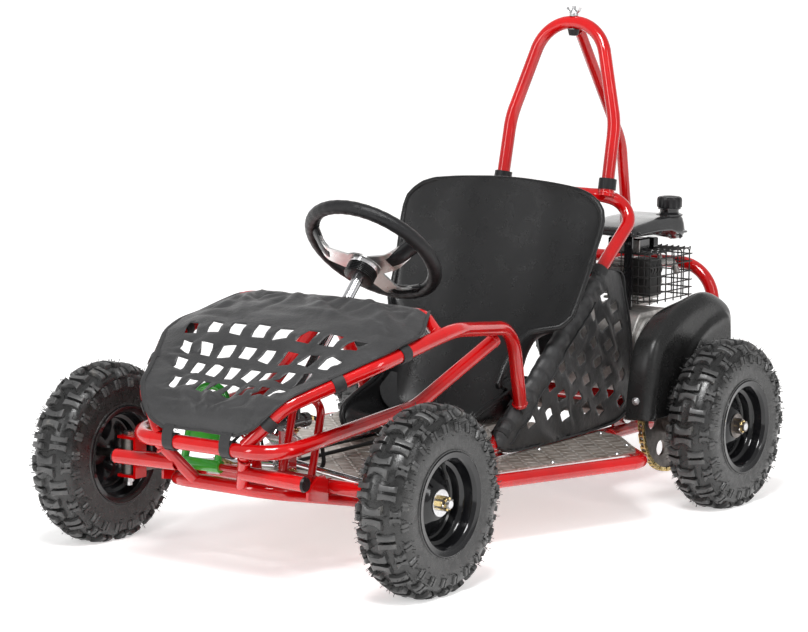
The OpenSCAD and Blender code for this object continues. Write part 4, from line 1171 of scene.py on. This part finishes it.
def build_tank():
    """Pressed steel tank: a nearly flat top that rises to the rear, bevelled sides and a pinched seam."""
    levels = [(0.0, -15), (0.03, -8), (0.14, -3), (0.24, -1), (0.27, 3.6), (0.34, 3.6), (0.37, -0.6), (0.66, -2.2),
              (0.86, -4.4), (0.95, -7.5), (0.99, -13), (1.0, -24), (1.0, -34), (1.0, -46)]
    base = rounded(rect(TANK_X[0] + 4, TANK_X[1] - 4, TANK_Y[0] + 4, TANK_Y[1] - 4), 15, 8)
    dense = []
    for a, b in zip(base, base[1:] + base[:1]):
        k = max(1, round(math.dist(a, b) / 14))
        dense += [(a[0] + (b[0] - a[0]) * m / k, a[1] + (b[1] - a[1]) * m / k) for m in range(k)]
    cx, cy = sum(TANK_X) / 2, sum(TANK_Y) / 2
    hx, hy = cx - TANK_X[0] - 4, cy - TANK_Y[0] - 4

    def ring(f, grow):
        row = []
        for x, y in dense:
            x, y = cx + (x - cx) * (1 + grow / hx), cy + (y - cy) * (1 + grow / hy)
            row.append(at(x, y, along(TANK_FLOOR, y) * (1 - f) + along(TANK_TOP, y) * f))
        return row
    tank = Shape().grid([ring(f, grow) for f, grow in levels], close_row=True, cap=True)
    tank.make("tank", TANK, "black_paint", 50, "fuel_tank")
    neck = Shape().revolve([(27, 0), (27, 3), (21, 5), (19, 7), (19, 12), (23, 13), (23, 15.4), (15, 15.4), (15, 0)],
                           at(*CAP, 529.4), (0, 0, 1), 40)
    for x in (35, 126):
        neck.sweep([at(x, 535, z) for z in (503, 470, 420, 357)], band(18, 4), up=Vector((1, 0, 0)))
        neck.bolt(at(x, 532, 488), (0, -1, 0), 4.5, 3.4)
    neck.slab((60, 566, 462), (132, 604, 494), 3)
    neck.slab((112, 618, 470), (134, 634, 492), 2)
    for y in (540, 620, 700):
        neck.bolt(at(146, y, along(TANK_FLOOR, y) + 7), (1, 0, 0), 3.4, 3)
    neck.make("tank_neck_and_brackets", TANK, "black_paint", 40)
    rows = []
    for z, r, flute in ((545.4, 23.5, 0.4), (547, 25, 1), (561.5, 25, 1), (565.2, 24, 0.9), (567.2, 21, 0.3),
                        (567.2, 16, 0), (565.8, 13, 0)):
        radii = [(a, r - 2.2 * flute * (0.5 - 0.5 * math.cos(12 * a))) for a in spin(96)]
        rows.append([at(CAP[0] + q * math.cos(a), CAP[1] + q * math.sin(a), z) for a, q in radii])
    cap = Shape().grid(rows, close_row=True, cap=True)
    cap.make("tank_cap", PLASTIC, "black_plastic", 40, "fuel_cap", "fuel_cap")


def build_crankcase():
    """Cast case: a shell with webs, a side cover with its bolts, oil plugs and a finned cylinder."""
    case = Shape()
    x_up = Matrix(((0, 0, 1, 0), (1, 0, 0, 0), (0, 1, 0, 0), (0, 0, 0, 1)))

    def plate(x0, x1, pts, bevel):
        case.prism([(y - DATUM_Y, z) for y, z in pts], Matrix.Translation((x0 * MM, 0, 0)) @ x_up, x1 - x0, bevel)
    plate(-20, 165, rounded([(490, 199), (660, 199), (668, 250), (660, 330), (620, 356), (520, 356), (494, 320),
                             (486, 250)], 16), 2.5)
    cover = rounded([(484, 204), (500, 201), (650, 201), (664, 226), (656, 322), (620, 344), (524, 344),
                     (490, 312)], 14)
    plate(163, 176, cover, 4)
    plate(150, 164, [(y + (575 - y) * -0.03, z + (272 - z) * -0.03) for y, z in cover], 1)
    plate(174, 182, rounded([(CRANK[0] + y, CRANK[1] + z) for y, z in ngon(34, 24)], 3, 2), 3)
    for a in spin(6, 20):
        root = Vector((CRANK[0] + 36 * math.cos(a), CRANK[1] - 8 + 30 * math.sin(a)))
        tip = Vector((CRANK[0] + 8 + 74 * math.cos(a), CRANK[1] - 14 + 58 * math.sin(a)))
        d = (tip - root).normalized()
        s = Vector((-d.y, d.x)) * 2.2
        plate(175, 180, [root + s, root - s, tip - s * 0.6, tip + s * 0.6], 1)
    # cylinder with cooling fins, upright on top of the case
    for k in range(9):
        z, grow = 350 + 10 * k, 4 * math.sin(math.pi * k / 8)
        fin = [(10 - grow, 630 - grow), (94, 630 - grow), (94, 714 + grow), (10 - grow, 714 + grow)]
        case.prism(rounded([(x, y - DATUM_Y) for x, y in fin], 10), lift(z), 4.2, 0.8)
    case.slab((18, 638, 346), (86, 706, 440), 2, 12)
    case.make("engine_case", CAST, "cast_alloy", 34, "crankcase cylinder_head")
    bolts = Shape()
    for a in spin(8, 12):
        bolts.bolt(at(175.8, 574 + 76 * math.cos(a), 271 + 58 * math.sin(a)), (1, 0, 0), 4.6, 4.5)
    for y in (505, 645):
        bolts.bolt(at(176, y, 215), (1, 0, 0), 7.5, 8)
    for x in (4, 140):
        for y in (512, 650):
            bolts.bolt(at(x, y, 199), (0, 0, 1), 5.5, 5)
    bolts.make("engine_bolts", ZINC, "zinc_steel")
    shaft = Shape().revolve([(9.5, 180), (9.5, 277), (8.5, 278), (4, 278), (3.4, 274), (0.2, 274), (0.2, 180)],
                            at(0, *CRANK), (1, 0, 0), 36)
    shaft.make("crank_stub", DARK_STEEL, "zinc_steel")
    plug = Shape().revolve([(7, 0), (7.6, 4), (5, 6), (5.4, 30), (8.5, 34), (8.5, 46), (5, 50), (0.2, 50)],
                           at(52, 706, 398), (0, 1, 0.12), 20, False)
    plug.tube(curve(0.006, (52, 750, 404), (46, 752, 420), (20, 742, 436), (-10, 700, 420), (-30, 640, 380)),
              3.2, 10)
    plug.make("spark_lead", RUBBER, "hose_rubber", 50)


def build_exhaust():
    """Box silencer with its flange and pipes."""
    box, pipes = Shape(), Shape()
    box.slab((112, 552, 383), (163, 606, 455), 5, 9)
    box.slab((109.5, 549.5, 416), (165, 608.5, 419), 0.6, 10)
    for k in range(4):
        y = 562 + k * 11
        box.sweep([at(162.5, y, 426), at(165, y + 1, 433), at(162.5, y + 2, 444)], band(8, 2), up=Vector((0, 1, 0)))
    box.make("silencer", HOT, "black_paint", 40, "muffler")
    pipes.tube(curve(0.004, (94, 645, 400), (108, 645, 400), (128, 640, 402), (134, 622, 412), (134, 604, 420)),
               12, 24)
    pipes.slab((118, 612, 392), (150, 618, 448), 1, 6)
    pipes.slab((104, 626, 384), (108, 664, 440), 0.6, 1.5)
    pipes.tube(curve(0.005, (146, 606, 440), (146, 636, 444), (150, 664, 440), (150, 684, 418)), 6.5, 18)
    pipes.tube(curve(0.005, (122, 650, 384), (122, 656, 420), (124, 660, 452)), 5, 16)
    for z in (398, 442):
        pipes.bolt(at(142, 618.5, z), (0, 1, 0), 4, 5)
    for z in (392, 432):
        pipes.bolt(at(108, 632, z), (1, 0, 0), 4, 6)
    pipes.slab((92, 556, 466), (138, 559, 492), 0.8, 4)
    pipes.make("exhaust_pipes", CAST, "cast_alloy", 44)


def build_cage():
    """Guard of welded round wires on the silencer."""
    (x0, y0, z0), (x1, y1, z1) = (103.6, 544.6, 374.6), (170.4, 696.4, 466.4)
    cage = Shape()

    def wire(*points):
        cage.tube(curve(0.01, *points), 1.35, 8)
    for k in range(6):
        y = y0 + (y1 - y0) * k / 5
        wire((x0 - 2, y, z1), (x0 + 20, y, z1), (x1 - 8, y, z1), (x1 - 2, y, z1 - 2), (x1, y, z1 - 9),
             (x1, y, z0 + 30), (x1, y, z0 - 7))
    for k in range(1, 13, 2):
        y = y0 + (y1 - y0) * k / 12
        wire((x0 - 2, y, z1), (x0 + 20, y, z1), (x1 - 2, y, z1))
    for z in (374, 389, 404, 422, 441, 456):
        wire((x0 - 6, y0 - 2, z), (x1 - 8, y0 - 2, z), (x1 + 0.4, y0, z), (x1 + 2, y0 + 9, z), (x1 + 2, y1 - 9, z),
             (x1 + 2, y1 + 7, z))
        wire((x0, y1 + 1, z), (x1 - 8, y1 + 1, z), (x1 + 3, y1 + 1, z))
    top = z1 + 1.6
    for k in range(6):
        x = x0 + (x1 - x0) * k / 5
        foot = z0 - (7 if k % 2 else 3)
        wire((x, y0, foot), (x, y0, z1 - 6), (x, y0 + 6, top), (x, y0 + 40, top), (x, y1 - 6, top), (x, y1, z1 - 6),
             (x, y1, foot))
    cage.make("silencer_cage", HOT, "black_paint", 60, "muffler_guard")


def build_intake():
    """Ribbed air cleaner box on its carburettor."""
    box = Shape()
    box.slab((-104, 590, 372), (-36, 686, 412), 3, 14)
    box.slab((-104, 590, 413), (-36, 686, 448), 8, 14)
    for k in range(5):
        y = 602 + 18 * k
        box.slab((-96, y, 445.5), (-44, y + 5, 447.9), 1)
    box.make("air_box", PLASTIC, "black_plastic", 34, "air_filter")
    carb = Shape()
    carb.revolve([(17, 0), (17, 5), (13, 7), (13, 20), (17, 22), (17, 32), (12, 34), (12, 45), (0.2, 45), (0.2, 0)],
                 at(-36, 639, 401), (1, 0, 0), 32)
    carb.prism(ngon(12, 24), Matrix.Translation(at(-14, 639, 372)), 18, 3)
    carb.prism(ngon(4, 6), Matrix.Translation(at(-14, 639, 366)), 8, 1)
    carb.bolt(at(-20, 639, 417), (0, 0, 1), 4, 4)
    carb.make("carburettor", CAST, "cast_alloy")


def build_recoil():
    """Ribbed starter cover with louvres round its boss, a pull handle and its cord."""
    cover = Shape()
    cover.revolve([(84, 0), (84, 20), (81, 30), (74, 38), (62, 42), (59, 50), (54, 55), (30, 55), (26, 52),
                   (0.2, 52), (0.2, 0)], at(-20.4, *CRANK), (-1, 0, 0), 72)
    for a in spin(16):
        m = frame_from(at(-20.4, *CRANK), (-1, 0, 0)) @ Matrix.Rotation(a, 4, "Z")
        cover.prism(rect(34, 56, -1.6, 1.6), m @ lift(54), 1.6, 0.6)
        cover.prism(rect(77, 84.5, -3, 3), m @ lift(4), 26, 2)
    cover.slab((-77, 580.5, 322), (-61, 637.5, 344), 3)
    cover.slab((-60, 528, 348), (-24, 562, 392), 4)
    cover.make("starter_cover", PLASTIC, "black_plastic", 36, "recoil_cover")
    grip = Shape()

    def handle(t):
        waist = math.cos(2 * math.pi * t)
        return oval(6.5 - 1.2 * waist, 5.5 - 0.8 * waist, 16)
    grip.sweep([at(-87 + 36 * i / 20, 644 - 1.4 * math.sin(math.pi * i / 20), 334) for i in range(21)], handle)
    grip.tube([at(-69, y, 334) for y in (643, 620, 580)], 1.8, 8)
    grip.make("pull_handle", RUBBER, "black_plastic", 50, "recoil_handle", "recoil_handle")


for build in (build_tank, build_crankcase, build_exhaust, build_cage, build_intake, build_recoil):
    build()


# ---- Chain drive ----

PITCH = 12.7
CHAIN_X = 262
AXLE_TEETH, PINION_TEETH = 50, 12
AXLE_PITCH_R = PITCH / (2 * math.sin(math.pi / AXLE_TEETH))
PINION_PITCH_R = PITCH / (2 * math.sin(math.pi / PINION_TEETH))


def chain_path():
    """Closed line of the chain's pins: two arcs and the two straight runs between them."""
    a, b = Vector((REAR_Y, AXLE_Z)), Vector(CRANK)
    d = b - a
    heading, spread = math.atan2(d.y, d.x), math.acos((AXLE_PITCH_R - PINION_PITCH_R) / d.length)
    pts = []
    for i in range(41):
        t = heading + spread + (2 * math.pi - 2 * spread) * i / 40
        pts.append(a + AXLE_PITCH_R * Vector((math.cos(t), math.sin(t))))
    for i in range(15):
        t = heading - spread + 2 * spread * i / 14
        pts.append(b + PINION_PITCH_R * Vector((math.cos(t), math.sin(t))))
    return pts


def link_plate():
    """Outline of a link: two round ends and a waist."""
    plate = []
    for a in spin(24):
        c = math.cos(a)
        waist = 4.9 - 1.3 * math.exp(-(c / 0.35) ** 2)
        end = math.copysign(PITCH / 2, c) + 4.6 * c
        plate.append((end if abs(c) > 0.25 else PITCH * 2 * c, waist * math.sin(a)))
    return plate


def build_chain():
    pts = chain_path()
    lengths = [0.0]
    for p, q in zip(pts, pts[1:] + pts[:1]):
        lengths.append(lengths[-1] + (q - p).length)
    count = 2 * round(lengths[-1] / PITCH / 2)
    pins = []
    for k in range(count):
        s = lengths[-1] * k / count
        i = max(j for j in range(len(pts)) if lengths[j] <= s)
        share = (s - lengths[i]) / max(1e-9, lengths[i + 1] - lengths[i])
        pins.append(pts[i].lerp(pts[(i + 1) % len(pts)], share))
    chain, plate = Shape(), link_plate()
    for k in range(count):
        p, q = pins[k], pins[(k + 1) % count]
        d = (q - p).normalized()
        out = 5.4 if k % 2 else 3.9
        m = Matrix(((0, 0, 1, 0), (d.x, -d.y, 0, 0), (d.y, d.x, 0, 0), (0, 0, 0, 1)))
        mid = (p + q) / 2
        for side in (-1, 1):
            chain.prism(plate, Matrix.Translation(at(CHAIN_X + side * out - 0.7, mid.x, mid.y)) @ m, 1.4, 0.25)
        chain.revolve([(3.9, -3.1), (3.9, 3.1), (1.6, 3.1), (1.6, -3.1)], at(CHAIN_X, p.x, p.y), (1, 0, 0), 14)
        chain.stud(at(CHAIN_X - 6.6, p.x, p.y), (1, 0, 0), 1.8, 10, 13.2, 0.3)
    chain.make("roller_chain", GOLD, "chain_steel", 36, "drive_chain")


build_chain()


# ---- Pedals, brake, weld beads and the wing nut ----


def coil(shape, a, b, r, wire, turns):
    """Extension spring from a to b with straight hooked ends."""
    m = frame_from(a, b - a)
    length = (b - a).length
    ends = [m @ Vector((0, 0, length * t)) for t in (0, 0.1, 0.9, 1)]
    way = []
    for i in range(turns * 12 + 1):
        t = i / (turns * 12)
        turn = 2 * math.pi * turns * t
        way.append(m @ Vector((r * MM * math.cos(turn), r * MM * math.sin(turn), length * (0.14 + 0.72 * t))))
    shape.tube(ends[:2] + way + ends[2:], wire, 6)


def build_pedal_details():
    links, springs = Shape(), Shape()
    links.tube([at(106, -498, 214), at(84, -470, 238), at(60, -484, 258)], 3, 12)
    links.tube([at(-92, -505, 166), at(-80, -470, 158), at(-70, -430, 150)], 2.4, 10)
    links.bolt(at(-151, -506, 178), (-1, 0, 0), 6, 5)
    links.bolt(at(150, -506, 178), (1, 0, 0), 6, 5)
    coil(springs, at(84, -500, 190), at(70, -430, 158), 5, 0.9, 16)
    coil(springs, at(-82, -500, 192), at(-64, -432, 160), 5, 0.9, 16)
    links.make("pedal_links", ZINC, "zinc_steel")
    springs.make("pedal_springs", GOLD, "zinc_steel", 60)


def build_brake_details():
    master, fittings, bolts, hub_bolts = (Shape() for _ in range(4))
    master.revolve([(14.4, 0), (14.4, 18), (16, 19), (16, 25), (14, 28), (0.2, 28), (0.2, 0)],
                   at(54, -452, 269), (0, 0, 1), 32)
    master.revolve([(10.4, 0), (10.4, 8), (12.5, 10), (12.5, 16), (10.4, 18), (10.4, 60), (13, 62), (13, 74.6),
                    (6, 75), (0.2, 75), (0.2, 0)], at(54, -486.4, 262), (0, 1, 0), 28)
    master.make("brake_master", TANK, "black_metal", 34, "master_cylinder")
    for r, height in ((8, 8), (6, 15)):
        fittings.stud(at(54, -411, 262), (0, 1, 0), r, 6, height, 0.8)
    fittings.bolt(at(54, -440, 250), (0, 0, -1), 5, 6)
    fittings.stud(at(-176, 512, 193.2), (0, 0.78, -0.62), 7, 6, 10, 0.8)
    fittings.make("brake_fittings", GOLD, "zinc_steel")
    for y, z in ((510, 178), (530, 214)):
        bolts.bolt(at(-229, y, z), (-1, 0, 0), 5, 6)
    bolts.make("caliper_bolts", ZINC, "zinc_steel")
    for a in spin(4, 45):
        for x, r, way in ((-208.5, 20, -1), (265, 22, 1)):
            hub_bolts.bolt(at(x, REAR_Y + r * math.cos(a), AXLE_Z + r * math.sin(a)), (way, 0, 0), 4, 3.4, False)
    hub_bolts.make("hub_bolts", ZINC, "zinc_steel", body="rear_axle")


def build_beads():
    """Weld beads where the frame's tubes meet."""
    beads = Shape()

    def bead(centre, axis, r, wide=3.0):
        m = frame_from(centre, axis)
        rows = []
        for a in spin(72):
            swell = 1 + 0.3 * abs(math.sin(a * 11))
            rows.append([m @ (Vector(((r + x) * math.cos(a), (r + x) * math.sin(a), y)) * MM)
                         for x, y in oval(wide * swell * 0.55, wide * 0.8, 8)])
        beads.grid(rows, close_row=True, close_col=True)
    for side in (-1, 1):
        for centre, axis, r in (
                ((92, -622, 262), (0.6, 0.3, 0.72), 13), ((90, -627, 228), (0.5, -0.55, 0.75), 11.2),
                ((196, -48, 370), (0.28, 0.8, 0.45), 13), ((176, 76, 236), (0.15, -0.4, 0.9), 13),
                ((177, -372, 131), (1, 0.5, 0), 13), ((180, 385, 130), (1, -1.0, 0), 13),
                ((164, -18, 140), (0, 0.78, 0.62), 13), ((164, 668, 147), (0.5, 0.8, 0.3), 13),
                ((121.8, 455.5, 593), (-0.02, 0.22, 0.97), 14.6), ((240, -287, 414), (0.85, -0.4, -0.3), 11.4)):
            bead(at(side * centre[0], *centre[1:]), (side * axis[0], *axis[1:]), r)
        bead(at(side * 148, -470.8, 165), (1, 0, 0), 13.2, 2.4)
    bead(at(0, 734, 441), (0, 0.1, 1), 11.5)
    bead(at(0, 536, 901), (0, 0.8, -0.5), 9.5)
    beads.make("weld_beads", RED, "red_paint", 80)


def build_crown():
    """Wing nut at the top of the roll hoop."""
    wing, base = Shape(), (0, 519, 933.2)
    for side in (-1, 1):
        way = curve(0.002, *((side * x, base[1], base[2] + z) for x, z in ((5, 2), (12, 6), (15, 12.5))))
        wing.sweep(way, lambda t: oval(2.6 - t, 3.6 + t, 12))
    wing.revolve([(8.6, 0), (8.2, 4), (6.2, 7.8), (4.05, 8), (4.05, 0)], at(*base), (0, 0, 1), 28)
    wing.make("wing_nut", ZINC, "zinc_steel", 50)


for build in (build_pedal_details, build_brake_details, build_beads, build_crown):
    build()


# ---- Stage, light and camera ----

# The camera stands ahead of the kart, off its left side, a little above it.
AZIMUTH, ELEVATION, ROLL = (math.radians(k) for k in (35.489, 8.143, 0.4954))
CAMERA_AT = at(3131.83, -4439.59, 1168.83)
LENS = 132.23


def build_stage():
    """A floor that curves up into a wall behind the kart, as the camera sees it."""
    view = Matrix.Rotation(AZIMUTH, 4, "Z")
    profile = [(-9, 0), (6.0, 0), (7.5, 0.25), (8.6, 1.1), (9.2, 2.4), (9.4, 6.5)]
    floor = Shape().grid([[view @ Vector((x, d, z)) for x in (-14, -7, 0, 7, 14)] for d, z in profile])
    paper = Nodes("paper")
    paper.finish(paper.ramp(paper.noise(2.0), [(0.3, (0.90, 0.895, 0.89)), (0.7, (0.92, 0.915, 0.91))]), 0.9,
                 Emission_Color=(1, 0.995, 0.99, 1), Emission_Strength=0.46)
    ob = bpy.data.objects.new("backdrop", floor.mesh("backdrop", paper.mat, 180))
    bpy.context.scene.collection.objects.link(ob)
    ob.modifiers.new("round", "SUBSURF").render_levels = 3


def area_light(name, place, target, size, power):
    data = bpy.data.lights.new(name, "AREA")
    data.shape, data.size, data.size_y = "RECTANGLE", size[0], size[1]
    data.energy = power
    ob = bpy.data.objects.new(name, data)
    ob.location = place
    ob.rotation_mode = "QUATERNION"
    ob.rotation_quaternion = (Vector(target) - Vector(place)).to_track_quat("-Z", "Y")
    bpy.context.scene.collection.objects.link(ob)


def build_light():
    world = bpy.data.worlds.new("studio")
    bpy.context.scene.world = world
    world.use_nodes = True
    background = world.node_tree.nodes["Background"]
    background.inputs["Color"].default_value = (1, 1, 1, 1)
    background.inputs["Strength"].default_value = 0.48
    area_light("key", (1.0, -1.8, 3.4), (0, 0, 0.3), (1.3, 1.3), 118)
    area_light("side", (3.9, -0.2, 2.2), (0, 0, 0.4), (0.6, 2.2), 26)
    area_light("front", (-1.4, -4.0, 2.0), (0, -0.3, 0.3), (0.7, 2.0), 36)
    bpy.context.scene.view_settings.view_transform = "Standard"


def build_camera():
    a, e = AZIMUTH, ELEVATION
    back = Vector((math.sin(a) * math.cos(e), -math.cos(a) * math.cos(e), math.sin(e)))
    level = Vector((math.cos(a), math.sin(a), 0))
    above = back.cross(level)
    right = level * math.cos(ROLL) + above * math.sin(ROLL)
    up = above * math.cos(ROLL) - level * math.sin(ROLL)
    data = bpy.data.cameras.new("camera")
    data.lens, data.sensor_width, data.clip_end = LENS, 36, 50
    camera = bpy.data.objects.new("camera", data)
    camera.matrix_world = Matrix.Translation(CAMERA_AT) @ Matrix((right, up, back)).transposed().to_4x4()
    bpy.context.scene.collection.objects.link(camera)
    bpy.context.scene.camera = camera


build_stage()
build_light()
build_camera()
